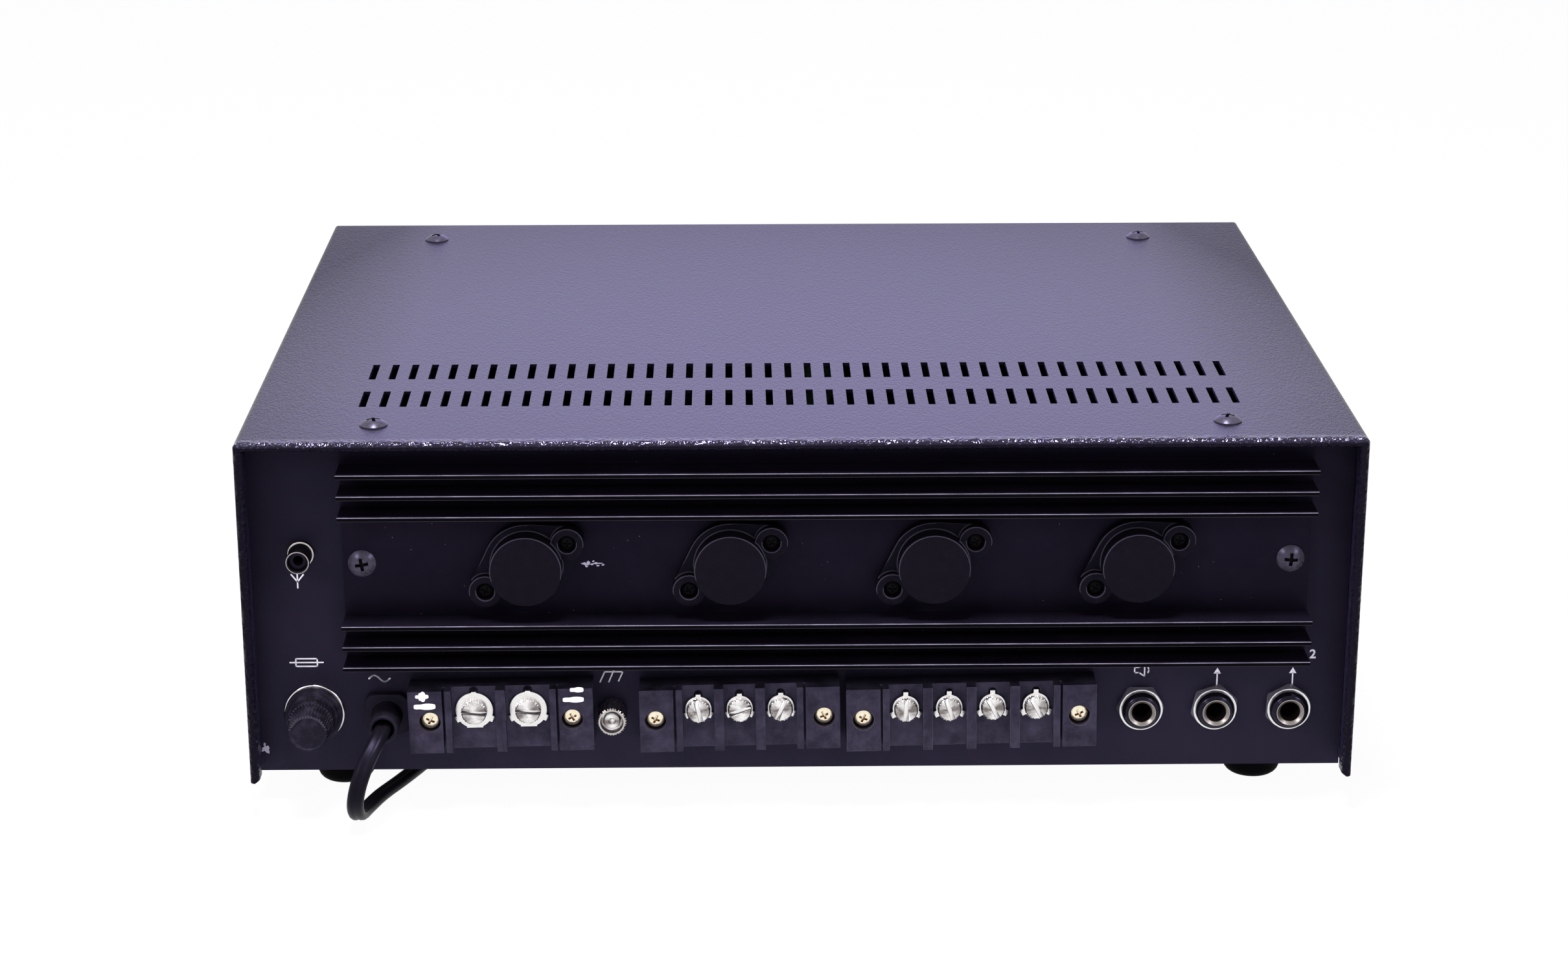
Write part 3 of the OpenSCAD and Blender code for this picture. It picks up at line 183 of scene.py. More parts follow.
def hand_over(piece, material, slot, *nodes, body="amplifier"):
    """Give a finished piece its material, let it ride on its body and stand for its CAD nodes. Its slot is
    not used.
    """
    piece.data.materials.clear()
    piece.data.materials.append(material)
    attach(piece, body)
    if nodes:
        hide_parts(*nodes)
    return piece


# Soft vinyl: extruded, so nearly smooth, with handling marks a few centimetres long that dull the sheen
soft_vinyl = mottled("soft_black_vinyl", 30, "#060508", "#110f15", 0.3, 0.5, 0.12, 0.0002, detail=4.0,
                     fine=(0.8, 2.0), IOR=1.52, Specular_IOR_Level=0.1, Specular_Tint="#cfc4ff")
bpy.ops.object.select_all(action="DESELECT")
cord.select_set(True)
bpy.context.view_layer.objects.active = cord
bpy.ops.object.shade_smooth_by_angle(angle=math.radians(50))
hand_over(cord, soft_vinyl, "cord_plastic", "mains_cord", "cord_coil")


# Mains plug: moulded on to the cord in the same vinyl, tapered towards it, with two plated round pins.
def begin(add_shape, **sizes):
    """Add a shape with nothing else selected and open it in edit mode with nothing picked."""
    bpy.ops.object.select_all(action="DESELECT")
    add_shape(**sizes)
    bpy.ops.object.mode_set(mode="EDIT")
    bpy.ops.mesh.select_all(action="DESELECT")


def pick(kind, test):
    """Pick the verts, edges or faces of the open shape whose middle, in its own frame, passes the test."""
    bpy.ops.mesh.select_mode(type={"verts": "VERT", "edges": "EDGE", "faces": "FACE"}[kind])
    bpy.ops.mesh.select_all(action="DESELECT")
    shape = bmesh.from_edit_mesh(bpy.context.object.data)
    for part in getattr(shape, kind):
        corners = [part.co] if kind == "verts" else [v.co for v in part.verts]
        if test(sum(corners, Vector()) / len(corners), part):
            part.select_set(True)
    bmesh.update_edit_mesh(bpy.context.object.data)


def close(name, smooth=35):
    """Leave edit mode, put the place into the mesh and shade it smooth up to an angle."""
    if bpy.context.object.mode == "EDIT":
        bpy.ops.object.mode_set(mode="OBJECT")
    piece = bpy.context.object
    piece.name = name
    bpy.ops.object.transform_apply()
    bpy.ops.object.shade_smooth_by_angle(angle=math.radians(smooth))
    return piece


def use_modifier(piece, kind, **settings):
    """Add a modifier, set it and apply it."""
    modifier = piece.modifiers.new(kind.lower(), kind)
    for name, value in settings.items():
        setattr(modifier, name, value)
    bpy.context.view_layer.objects.active = piece
    bpy.ops.object.modifier_apply(modifier=modifier.name)


def soften(node, name, material, slot, width, steps=2, body="amplifier", clamp=True):
    """Hand over a copy of a CAD node, merged, with its edges rounded as in pressed and moulded parts."""
    bpy.ops.object.select_all(action="DESELECT")
    piece = bpy.data.objects.new(name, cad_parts[node].data.copy())
    bpy.context.scene.collection.objects.link(piece)
    piece.select_set(True)
    bpy.context.view_layer.objects.active = piece
    bpy.ops.mesh.customdata_custom_splitnormals_clear()
    bpy.ops.object.mode_set(mode="EDIT")
    bpy.ops.mesh.select_all(action="SELECT")
    bpy.ops.mesh.remove_doubles(threshold=1e-6)
    bpy.ops.mesh.dissolve_limited(angle_limit=math.radians(0.5))
    bpy.ops.object.mode_set(mode="OBJECT")
    use_modifier(piece, "BEVEL", width=width, segments=steps, limit_method="ANGLE",
                 angle_limit=math.radians(35), use_clamp_overlap=clamp)
    return hand_over(close(name, smooth=40), material, slot, node, body=body)


plug = soften("mains_plug", "moulded_plug", soft_vinyl, "plug_plastic", 0.0024, 4)

# Nickel plate: thin, slightly dulled, with faint turning marks. A metal keeps the default index.
nickel = mottled("nickel_plate", 4, "#aca6a4", "#d4cfcd", 0.16, 0.36, 0.08, Metallic=1.0)

lo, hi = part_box("plug_pins")
pin_r, pins = 0.002, []
for side in (lo.y + pin_r, hi.y - pin_r):
    begin(bpy.ops.mesh.primitive_cylinder_add, vertices=24, radius=pin_r, depth=hi.x - lo.x,
          location=((lo.x + hi.x) / 2, side, (lo.z + hi.z) / 2), rotation=(0, math.pi / 2, 0))
    pick("edges", lambda m, e: e.verts[0].co.z > 0 and e.verts[1].co.z > 0)
    bpy.ops.mesh.bevel(offset=0.0011, segments=4, affect="EDGES")
    pins.append(hand_over(close("plug_pin_%d" % len(pins)), nickel, "pin_metal", "plug_pins"))


def dress(material, *nodes):
    """Give CAD nodes, which keep their shape, a material."""
    for name in nodes:
        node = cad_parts[name]
        node.data.materials.clear()
        node.data.materials.append(material)


dress(soft_vinyl, "cord_tie")


# Chassis: folded steel tray whose rear wall carries every connector. It is sprayed with the same
# black wrinkle paint as the cover, but thinner, so its grain is finer and flatter.
panel_paint, tree, place = start_material("fine_wrinkle_paint", Roughness=0.45, IOR=1.5,
                                          Specular_Tint="#cfc4ff")
cloud = add(tree, "TexNoise", {"Vector": place, "Scale": 1000 / 45, "Detail": 5.0, "Roughness": 0.6})
add(tree, "Mix", {0: cloud, 6: "#0c0a11", 7: "#1d1927"}, "Base Color", data_type="RGBA")
# Painted shade: the wall's gloss falls from its lower part towards its top, where the cover overhangs it
height = add(tree, "SeparateXYZ", {0: place})
add(tree, "MapRange", {"Value": height.node.outputs["Z"], "From Min": 0.035, "From Max": 0.12, "To Min": 0.25,
                       "To Max": 0.1}, "Specular IOR Level")
grain = add(tree, "TexNoise", {"Vector": place, "Scale": 1000 / 0.7, "Detail": 3.0})
add(tree, "Bump", {"Height": grain, "Strength": 0.22, "Distance": 0.0003}, "Normal")
dress(panel_paint, "chassis")


# Top cover: one sheet of steel folded to a U, hemmed round both open ends and sprayed with black
# wrinkle paint. The paint stands in soft lumps about a millimetre across, which glint along the hem.
wrinkle_paint, tree, place = start_material("black_wrinkle_paint", IOR=1.5, Specular_Tint="#cdc4f6",
                                            Sheen_Weight=0.03, Sheen_Roughness=0.4, Sheen_Tint="#9d90ea")
cloud = add(tree, "TexNoise", {"Vector": place, "Scale": 1000 / 110, "Detail": 5.0, "Roughness": 0.55})
add(tree, "Mix", {0: cloud, 6: "#09070e", 7: "#14111b"}, "Base Color", data_type="RGBA")
# Painted shade: the gloss falls towards both sides and the front, so the top darkens there
spot = add(tree, "SeparateXYZ", {0: place})
aside = add(tree, "Math", {0: spot.node.outputs["X"]}, operation="ABSOLUTE")
side = add(tree, "MapRange", {"Value": aside, "From Min": 0.13, "From Max": 0.176, "To Max": 0.5})
shade_falloff = add(tree, "MapRange", {"Value": spot.node.outputs["Y"], "From Min": 0.09, "From Max": -0.13,
                              "To Max": 0.8})
shade_falloff = add(tree, "Math", {0: side, 1: shade_falloff}, operation="ADD")
gloss = add(tree, "MapRange", {"Value": shade_falloff, "To Min": 0.18, "To Max": 0.03})
# Along the hem the paint has run into larger, smoother drops. Its gloss is raised on the hem's upper side as
# a painted highlight and lowered below it as painted shade
hem = add(tree, "MapRange", {"Value": spot.node.outputs["Y"], "From Min": 0.1385, "From Max": 0.1415})
hem_highlight_gloss = add(tree, "MapRange", {"Value": spot.node.outputs["Z"], "From Min": 0.1238, "From Max": 0.1247,
                                   "To Min": 0.06, "To Max": 0.6})
add(tree, "Mix", {0: hem, 2: gloss, 3: hem_highlight_gloss}, "Specular IOR Level")
add(tree, "MapRange", {"Value": hem, "To Min": 0.25, "To Max": 0.15}, "Roughness")
grain_spot = add(tree, "Mapping", {"Vector": place, "Scale": (1000 / 0.6, 1000 / 1.5, 1000 / 0.9)})
lumps = add(tree, "TexNoise", {"Vector": grain_spot, "Scale": 1.0, "Detail": 1.5, "Roughness": 0.5})
relief = add(tree, "MapRange", {"Value": hem, "To Min": 0.42, "To Max": 0.08})
relief = add(tree, "Math", {0: side, 1: relief}, operation="ADD")
bump = add(tree, "Bump", {"Height": lumps, "Strength": relief, "Distance": 0.0004})
drops = add(tree, "TexNoise", {"Vector": place, "Scale": 1000 / 1.3, "Detail": 0.5})
drop_h = add(tree, "Math", {0: hem, 1: 0.6}, operation="MULTIPLY")
add(tree, "Bump", {"Height": drops, "Strength": drop_h, "Distance": 0.0015, "Normal": bump}, "Normal")
dress(wrinkle_paint, "top_cover")


# Case screws: six steel screws with domed heads and cross recesses, blackened and lightly oiled.
# Four hold the cover down to the tray, two hold the heatsink to the rear wall.
black_oxide = mottled("black_oxide_steel", 1.5, "#2a2731", "#4c4855", 0.2, 0.36, 0.1, 0.0002, detail=4.0,
                      Metallic=0.2, Specular_IOR_Level=0.3, Specular_Tint="#cfc4ff")


def rod(sides, radius, length, z=0.0, **turn):
    """Open an upright cylinder whose middle is at a height."""
    begin(bpy.ops.mesh.primitive_cylinder_add, vertices=sides, radius=radius, depth=length,
          location=(0, 0, z), **turn)


def pick_end(up):
    """Pick the flat faces of the open shape that look up, or down for -1."""
    pick("faces", lambda m, f: f.normal.z * up > 0.9)


def pull(x, y, z):
    """Extrude what is picked."""
    bpy.ops.mesh.extrude_region_move(TRANSFORM_OT_translate={"value": (x, y, z)})


def rise(z):
    """Move what is picked upwards."""
    bpy.ops.transform.translate(value=(0, 0, z))


def inset(width):
    """Put a border round the picked faces."""
    bpy.ops.mesh.inset(thickness=width)


def cut(piece, cutter, operation="DIFFERENCE"):
    """Take a shape away from a piece, or keep what both share, and remove the shape."""
    use_modifier(piece, "BOOLEAN", object=cutter, operation=operation)
    bpy.data.objects.remove(cutter)


def cross_screw(head_r, head_h, shank_r, shank_l, dome=0.5):
    """Screw that stands on the floor plane: domed head with a tapered cross recess, and its shank below."""
    rod(40, head_r, head_h, head_h / 2)
    pick_end(-1)
    inset(head_r - shank_r)
    pull(0, 0, -shank_l)
    pick_end(1)
    rise(-dome * head_h)
    for k in range(8):
        inset(head_r / 9)
        rise(dome * head_h * (15 - 2 * k) / 64)
    screw = close("screw")
    for turn in (0, 90):
        begin(bpy.ops.mesh.primitive_cube_add, size=1, location=(0, 0, head_h),
              rotation=(0, 0, math.radians(turn)), scale=(0.96 * head_r, 0.24 * head_r, 1.1 * head_h))
        pick("faces", lambda m, f: m.z < -0.4)
        bpy.ops.transform.resize(value=(0.6, 0.6, 1))
        cut(screw, close("cutter"))
    return screw


def in_recess(head_r, head_h):
    """Test for the walls and the floor of a screw's cross recess."""
    return lambda m, n: (math.hypot(m.x, m.y) < 0.56 * head_r and m.z > 0.1 * head_h
                         and (m.z < 0.6 * head_h or n.z < 0.6))


def put(piece, name, place, material, slot, *nodes, body="amplifier"):
    """Move a modelled shape from the floor plane to its place by a matrix, and hand it over."""
    piece.data.transform(place)
    piece.name = name
    return hand_over(piece, material, slot, *nodes, body=body)


def repeat(model, *words, **body):
    """Put a copy of a modelled shape, with its own mesh, in its place."""
    piece = model.copy()
    piece.data = model.data.copy()
    bpy.context.scene.collection.objects.link(piece)
    return put(piece, *words, **body)


def finish_faces(piece, material, place, test):
    """Give a further material to a placed piece's faces whose middle and normal, put back, pass the test."""
    back = place.inverted()
    piece.data.materials.append(material)
    for face in piece.data.polygons:
        if test(back @ face.center, back.to_3x3() @ face.normal):
            face.material_index = len(piece.data.materials) - 1


def on_rear(u, h, lift=0.0, turn=0.0):
    """Matrix from the floor plane to the rear panel: u to the right seen from behind, h up, lift outwards."""
    upright = Euler((math.pi / 2, 0, math.pi)).to_matrix().to_4x4()
    return Matrix.Translation((-u, panel_y + lift, h)) @ upright @ Matrix.Rotation(math.radians(turn), 4, "Z")


# Painted shade: a near-black copy of the steel for the case screws' cross recesses, and for the whole of the
# transistor screws
shaded_steel = start_material("shaded_black_oxide", Specular_IOR_Level=0.05, Roughness=0.5,
                              Base_Color="#060508")[0]
top_z, sink_z, web_t, head_r, head_h = 0.1255, 0.0825, 0.003, 0.0044, 0.0021
screw = cross_screw(head_r, head_h, shank_r=0.00175, shank_l=0.008, dome=0.85)
spots = [Matrix.Translation((x, y, top_z)) @ Matrix.Rotation(math.radians(turn), 4, "Z")
         for x, y, turn in ((0.1335, 0.12425, 12), (-0.1335, 0.12425, -20), (0.1335, -0.11275, 35),
                            (-0.1335, -0.11275, 4))]
spots += [on_rear(-0.138, sink_z, web_t, 10), on_rear(0.154, sink_z, web_t, -4)]
for i, spot in enumerate(spots):
    piece = repeat(screw, "case_screw_%d" % (i + 1), spot, black_oxide, "black_screw", "case_screws")
    finish_faces(piece, shaded_steel, spot, in_recess(head_r, head_h))
bpy.data.objects.remove(screw)


# Feet: four moulded rubber buffers with a rounded lower edge, held by a stem through the tray.
foot_rubber = mottled("black_rubber", 6, "#030304", "#08070a", 0.55, 0.75, 0.1, IOR=1.52,
                      Specular_IOR_Level=0.03)
foot_r, foot_h, stem_r = 0.0093, 0.011, 0.0035
rod(48, foot_r, foot_h, foot_h / 2)
pick_end(1)
inset(foot_r - stem_r)
pull(0, 0, 0.0012)
pull(0, 0, 0)
bpy.ops.transform.resize(value=(1.28, 1.28, 1))
pull(0, 0, 0.003)
bpy.ops.transform.resize(value=(0.55, 0.55, 1))
pick("edges", lambda m, e: max(v.co.z for v in e.verts) < -foot_h / 2 + 1e-6)
bpy.ops.mesh.bevel(offset=0.0036, segments=6, affect="EDGES")
foot = close("foot")
for i, (x, y) in enumerate(((0.1487, 0.10725), (-0.1487, 0.10725), (0.1487, -0.10075), (-0.1487, -0.10075))):
    repeat(foot, "rubber_foot_%d" % (i + 1), Matrix.Translation((x, y, 0)), foot_rubber, "foot_rubber",
           "rubber_feet")
bpy.data.objects.remove(foot)


# Heatsink: an aluminium extrusion with three fins above and three below a flat web, sawn to length and
# anodised black. The fins' upper edges carry a thin pale painted highlight and their lower edges a dimmer
# one.
anodised, tree, place = start_material("black_anodised_aluminium", IOR=1.6, Specular_IOR_Level=0.07,
                                       Specular_Tint="#cbbcff")
draw = add(tree, "Mapping", {"Vector": place, "Scale": (1000 / 60, 1000 / 0.8, 1000 / 0.8)})
lines = add(tree, "TexNoise", {"Vector": draw, "Scale": 1.0, "Detail": 4.0})
blots = add(tree, "TexNoise", {"Vector": place, "Scale": 1000 / 25, "Detail": 8.0, "Roughness": 0.75})
dye = add(tree, "Mix", {0: blots, 6: "#020104", 7: "#17131e"}, data_type="RGBA")
grit = add(tree, "TexVoronoi", {"Vector": place, "Scale": 1000 / 4})
speck = add(tree, "MapRange", {"Value": grit, "From Min": 0.015, "From Max": 0.04, "To Min": 0.4,
                               "To Max": 0.0})
add(tree, "Mix", {0: speck, 6: dye, 7: "#b5b0c4"}, "Base Color", data_type="RGBA")
add(tree, "MapRange", {"Value": blots, "From Min": 0.35, "From Max": 0.65, "To Min": 0.3, "To Max": 0.46},
    "Roughness")
add(tree, "Bump", {"Height": lines, "Strength": 0.12, "Distance": 0.0002}, "Normal")
# Painted highlights: a pale copy of the anodising for the fins' upper edges, a dim one for their lower edges
highlight_edge = mottled("anodised_edge_painted_highlight", 9, "#4a4658", "#a8a2bd", 0.25, 0.5, detail=4.0, Metallic=0.75)
dim_highlight_edge = start_material("anodised_edge_dim_painted_highlight", Metallic=0.6, Roughness=0.4, Base_Color="#2a2633")[0]

lo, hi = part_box("heatsink")
fin_t, fin_reach = 0.0014, hi.y - panel_y - web_t
levels = [sink_z + side * (0.018 + k * 0.00685) for side in (-1, 1) for k in range(3)]
begin(bpy.ops.mesh.primitive_cube_add, size=1, scale=(hi.x - lo.x, web_t, hi.z - lo.z),
      location=((lo.x + hi.x) / 2, panel_y + web_t / 2, (lo.z + hi.z) / 2))
bpy.ops.object.mode_set(mode="OBJECT")
bpy.ops.object.transform_apply()
bpy.ops.object.mode_set(mode="EDIT")
for level in levels:
    for side in (-1, 1):
        cut_z = level + side * fin_t / 2
        if lo.z + 1e-5 < cut_z < hi.z - 1e-5:
            bpy.ops.mesh.select_all(action="SELECT")
            bpy.ops.mesh.bisect(plane_co=(0, 0, cut_z), plane_no=(0, 0, 1))
pick("faces", lambda m, f: f.normal.y > 0.9 and any(abs(m.z - level) < fin_t / 2 for level in levels))
pull(0, fin_reach, 0)
bpy.context.object.data.materials.append(anodised)
bpy.context.object.data.materials.append(highlight_edge)
bpy.context.object.data.materials.append(dim_highlight_edge)
for side in (-1, 1):
    pick("edges", lambda m, e: min(v.co.y for v in e.verts) > hi.y - 1e-5
         and any(abs(m.z - level - side * fin_t / 2) < 1e-5 for level in levels))
    bpy.ops.mesh.bevel(offset=0.0002, segments=2, affect="EDGES", material=1 if side > 0 else 2)
heatsink = close("finned_heatsink", smooth=25)
# Painted shade: the fins' front faces take a near-black copy of the anodising
shaded_face = start_material("anodising_painted_shade", Specular_IOR_Level=0.03, Roughness=0.5,
                             Base_Color="#030205")[0]
finish_faces(heatsink, shaded_face, Matrix(), lambda m, n: n.y > 0.99 and m.y > hi.y - 0.0001)
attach(heatsink, "amplifier")
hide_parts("heatsink")


# Power transistors: four in flanged steel cans on the web, each under a moulded black cover whose round cap
# has a turned face. Two recessed screws through the cover's ears hold it to the heatsink.
cover_plastic, tree, place = start_material("moulded_black_phenolic", IOR=1.55, Specular_IOR_Level=0.06,
                                            Specular_Tint="#cbbcff")
# The caps stand one transistor spacing apart, so the wrapped place is the same round each cap's middle
first_u, transistor_step, tilt, screw_gap = -0.0863, 0.0638, 31, 0.03015
local = add(tree, "VectorMath", {0: place, 1: (-first_u, 0, sink_z)}, operation="SUBTRACT")
half = transistor_step / 2
local = add(tree, "VectorMath", {0: local, 1: (half, 1, 1), 2: (-half, -1, -1)}, operation="WRAP")
flat = add(tree, "VectorMath", {0: local, 1: (1, 0, 1)}, operation="MULTIPLY")
radius = add(tree, "VectorMath", {0: flat}, operation="LENGTH")
rings = add(tree, "TexNoise", {"W": radius, "Scale": 1000 / 0.5, "Detail": 3.0}, noise_dimensions="1D")
dust = add(tree, "TexNoise", {"Vector": place, "Scale": 1000 / 3, "Detail": 6.0, "Roughness": 0.7})
add(tree, "Mix", {0: dust, 6: "#060509", 7: "#121016"}, "Base Color", data_type="RGBA")
add(tree, "MapRange", {"Value": rings, "To Min": 0.32, "To Max": 0.55}, "Roughness")
ridges = add(tree, "Bump", {"Height": rings, "Strength": 0.15, "Distance": 0.0002})
add(tree, "Bump", {"Height": dust, "Strength": 0.12, "Distance": 0.0002, "Normal": ridges}, "Normal")
piece = soften("transistor_covers", "transistor_cap_covers", cover_plastic, "cover_plastic", 0.0003,
               clamp=False)
# Painted highlight: the cover's outward bevels, all but the lower ones, take a paler plastic
cover_edge_highlight = start_material("cover_edge_painted_highlight", Specular_IOR_Level=0.2, Roughness=0.4,
                              Base_Color="#322e3c")[0]
finish_faces(piece, cover_edge_highlight, Matrix(), lambda m, n: 0.3 < n.y < 0.93 and n.z > -0.1)

# Painted shade: these screws sit deep in the covers' ears and take the near-black steel all over
screw = cross_screw(head_r=0.0026, head_h=0.0018, shank_r=0.0015, shank_l=0.009)
for i in range(4):
    for side in (-1, 1):
        spot = on_rear(first_u + i * transistor_step, sink_z, web_t + 0.0032, tilt)
        spot = spot @ Matrix.Translation((side * screw_gap / 2, 0, 0)) @ Matrix.Rotation(i + side, 4, "Z")
        repeat(screw, "transistor_screw_%d%s" % (i + 1, "ab"[side > 0]), spot, shaded_steel, "black_screw",
               "transistor_screws")
bpy.data.objects.remove(screw)

# Tinned steel of the transistor cans, all of it under the covers
dress(nickel, "power_transistors")


# Antenna socket: turned brass barrel, nickel plated, with a black insert round its contact.
# A hex nut behind the rear wall holds it.
dark_insert = mottled("black_nylon", 5, "#0a080d", "#1c1922", 0.34, 0.56, 0.1, 0.0002, fine=(0.5, 2.0),
                      IOR=1.53, Specular_IOR_Level=0.14, Specular_Tint="#cfc4ff")
# Painted shade and highlights: the barrel takes a dark copy of the nickel, and its front bevels the bright
# plate
shaded_nickel = start_material("nickel_plate_painted_shade", Metallic=1.0, Roughness=0.4, Base_Color="#322e37")[0]
lo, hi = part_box("antenna_socket")
spot = on_rear(-(lo.x + hi.x) / 2, (lo.z + hi.z) / 2)
slim = Matrix.Translation((0, 0, 0.0006)) @ spot @ Matrix.Diagonal((0.92, 0.92, 1, 1)) @ spot.inverted()
piece = soften("antenna_socket", "antenna_barrel", shaded_nickel, "nickel", 0.00033)
finish_faces(piece, nickel, spot, lambda m, n: m.z > 0 and math.hypot(m.x, m.y) > 0.0037
             and (0.6 if m.z < 0.003 else 0.25) < n.z < 0.95)
piece.data.transform(slim)
soften("antenna_insulator", "antenna_insert", dark_insert, "dark_insulator", 0.00035).data.transform(slim)


# Fuse holder: black phenolic body behind a chrome ring, with a stepped collar. Its knurled cap turns a
# quarter and pulls out with the glass fuse. Fingers have polished swirls into the cap's end.
chrome = mottled("chrome_plate", 3, "#d2d0d4", "#f1f0f2", 0.06, 0.2, Metallic=1.0)
worn_phenolic, tree, place = start_material("worn_black_phenolic", IOR=1.55, Specular_IOR_Level=0.16,
                                            Specular_Tint="#cfc4ff")
fuse_u, fuse_reach = -0.1555, 0.018
local = add(tree, "VectorMath", {0: place, 1: (-fuse_u, panel_y, row_z)}, operation="SUBTRACT")
warp = add(tree, "TexNoise", {"Vector": local, "Scale": 1000 / 4, "Detail": 4.0})
swirl = add(tree, "TexWave", {"Vector": local, "Scale": 1000 / 12, "Distortion": 9.0, "Detail": 3.0,
                              "Detail Scale": 2.0}, wave_type="RINGS", rings_direction="Y")
rub = add(tree, "MapRange", {"Value": warp, "From Min": 0.45, "From Max": 0.7})
add(tree, "Mix", {0: rub, 6: "#100e14", 7: "#2a2631"}, "Base Color", data_type="RGBA")
add(tree, "MapRange", {"Value": swirl.node.outputs["Fac"], "To Min": 0.28, "To Max": 0.56}, "Roughness")
add(tree, "Bump", {"Height": swirl.node.outputs["Fac"], "Strength": 0.25, "Distance": 0.0003}, "Normal")
soften("fuse_ring", "fuse_chrome_ring", chrome, "nickel", 0.00035, 3)
soften("fuse_holder", "fuse_body", worn_phenolic, "fuse_plastic", 0.0003)


def knurl(ribs, inner, z_low, z_high, outer):
    """Pull every other pair of wall verts of the open round shape inwards, so that the wall gets ribs."""
    def in_groove(m, v):
        step = math.atan2(v.co.y, v.co.x) / (2 * math.pi) * ribs
        return (z_low < m.z < z_high and math.hypot(m.x, m.y) > outer
                and math.floor(step * 2 + 0.5) % 2 == 0)
    pick("verts", in_groove)
    bpy.ops.transform.resize(value=(inner, inner, 1), center_override=(0, 0, 0))


collar_r, collar_l, base, tip_r, step_w, rib_count = 0.0072, 0.005, 0.0052, 0.0062, 0.0005, 40
carrier_r, carrier_l, carrier_bore_r, carrier_bore_l = 0.00415, 0.0112, 0.00265, 0.008
rod(160, collar_r, collar_l)
pick_end(1)
inset(step_w)
pull(0, 0, fuse_reach - base - collar_l)
bpy.ops.transform.resize(value=(tip_r / (collar_r - step_w),) * 2 + (1,), center_override=(0, 0, 0))
inset(0.0006)
inset(0.0004)
rise(-0.00025)
inset(0.001)
knurl(rib_count, 0.955, -collar_l / 2 + 0.0001, fuse_reach, tip_r - 0.0001)
pick_end(-1)
inset(collar_r - carrier_r)
pull(0, 0, -carrier_l)
inset(carrier_r - carrier_bore_r)
pull(0, 0, carrier_bore_l)
cap = close("fuse_cap_model", smooth=28)
spot = on_rear(fuse_u, row_z, base + collar_l / 2)
piece = put(cap, "knurled_fuse_cap", spot, worn_phenolic, "fuse_plastic", "fuse_cap", body="fuse_cap")
# Painted highlights: the rib ends and the sloped ring on the cap's upper half take a paler phenolic
rib_highlight = start_material("fuse_rib_painted_highlight", Specular_IOR_Level=0.2, Roughness=0.4, Base_Color="#37333f")[0]
finish_faces(piece, rib_highlight, spot, lambda m, n: n.z > 0.9 and math.hypot(m.x, m.y) > tip_r - 0.0006
             and m.y > 0.001 and math.floor(math.atan2(m.y, m.x) / math.pi * rib_count + 0.5) % 2)
finish_faces(piece, rib_highlight, spot, lambda m, n: 0.5 < n.z < 0.92 and math.hypot(m.x, m.y) < tip_r
             and m.y > 0.002)

# Glass fuse: a clear tube between two plated end caps, seen only when the cap is drawn out
fuse_glass, tree, place = start_material("fuse_glass_and_caps", IOR=1.5, Roughness=0.08)
local = add(tree, "SeparateXYZ", {0: place})
lo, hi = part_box("fuse_cartridge")
off = add(tree, "Math", {0: local.node.outputs["Y"], 1: (lo.y + hi.y) / 2}, operation="SUBTRACT")
off = add(tree, "Math", {0: off}, operation="ABSOLUTE")
end_cap = add(tree, "Math", {0: off, 1: (hi.y - lo.y) / 2 - 0.005}, "Metallic", operation="GREATER_THAN")
add(tree, "Mix", {0: end_cap, 6: "#d9e2de", 7: "#cfcac0"}, "Base Color", data_type="RGBA")
add(tree, "Math", {0: 0.85, 1: end_cap}, "Transmission Weight", operation="SUBTRACT", use_clamp=True)
soften("fuse_cartridge", "glass_fuse", fuse_glass, "fuse_glass", 0.0004, body="fuse_cartridge")


# Cord bushing: a nylon grip snapped into the wall, square with soft corners, and a nose round the cord.
soften("cord_bushing", "bushing_grip", dark_insert, "bushing_plastic", 0.0013, 5)


# Terminal blocks: black phenolic mouldings with a raised pad for each pole between ribs, and a deep hole for
# a brass screw in each end. Handling has left pale rubs on the raised faces.
block_plastic, tree, place = start_material("moulded_block_phenolic", IOR=1.55, Specular_IOR_Level=0.3,
                                            Specular_Tint="#cfc4ff")
rubs = add(tree, "TexNoise", {"Vector": place, "Scale": 1000 / 7, "Detail": 8.0, "Roughness": 0.7})
rub_edge = add(tree, "MapRange", {"Value": rubs, "From Min": 0.38, "From Max": 0.72})
add(tree, "Mix", {0: rub_edge, 6: "#131118", 7: "#35313f"}, "Base Color", data_type="RGBA")
add(tree, "MapRange", {"Value": rubs, "To Min": 0.36, "To Max": 0.58}, "Roughness")
fine = add(tree, "TexNoise", {"Vector": place, "Scale": 1000 / 0.9, "Detail": 3.0})
add(tree, "Bump", {"Height": fine, "Strength": 0.14, "Distance": 0.0003}, "Normal")
# The outward-facing bevels of the blocks take a paler phenolic
pale_phenolic_edge = start_material("pale_phenolic_bevel", Specular_IOR_Level=0.35, Roughness=0.4,
                                 Base_Color="#4c4858")[0]
for block in ("dc", "speaker", "line"):
    piece = soften(block + "_terminal_block", block + "_block_moulding", block_plastic, "block_plastic",
                   0.00035)
    finish_faces(piece, pale_phenolic_edge, Matrix(), lambda m, n: 0.3 < n.y < 0.93 and m.y > panel_y + 0.006)

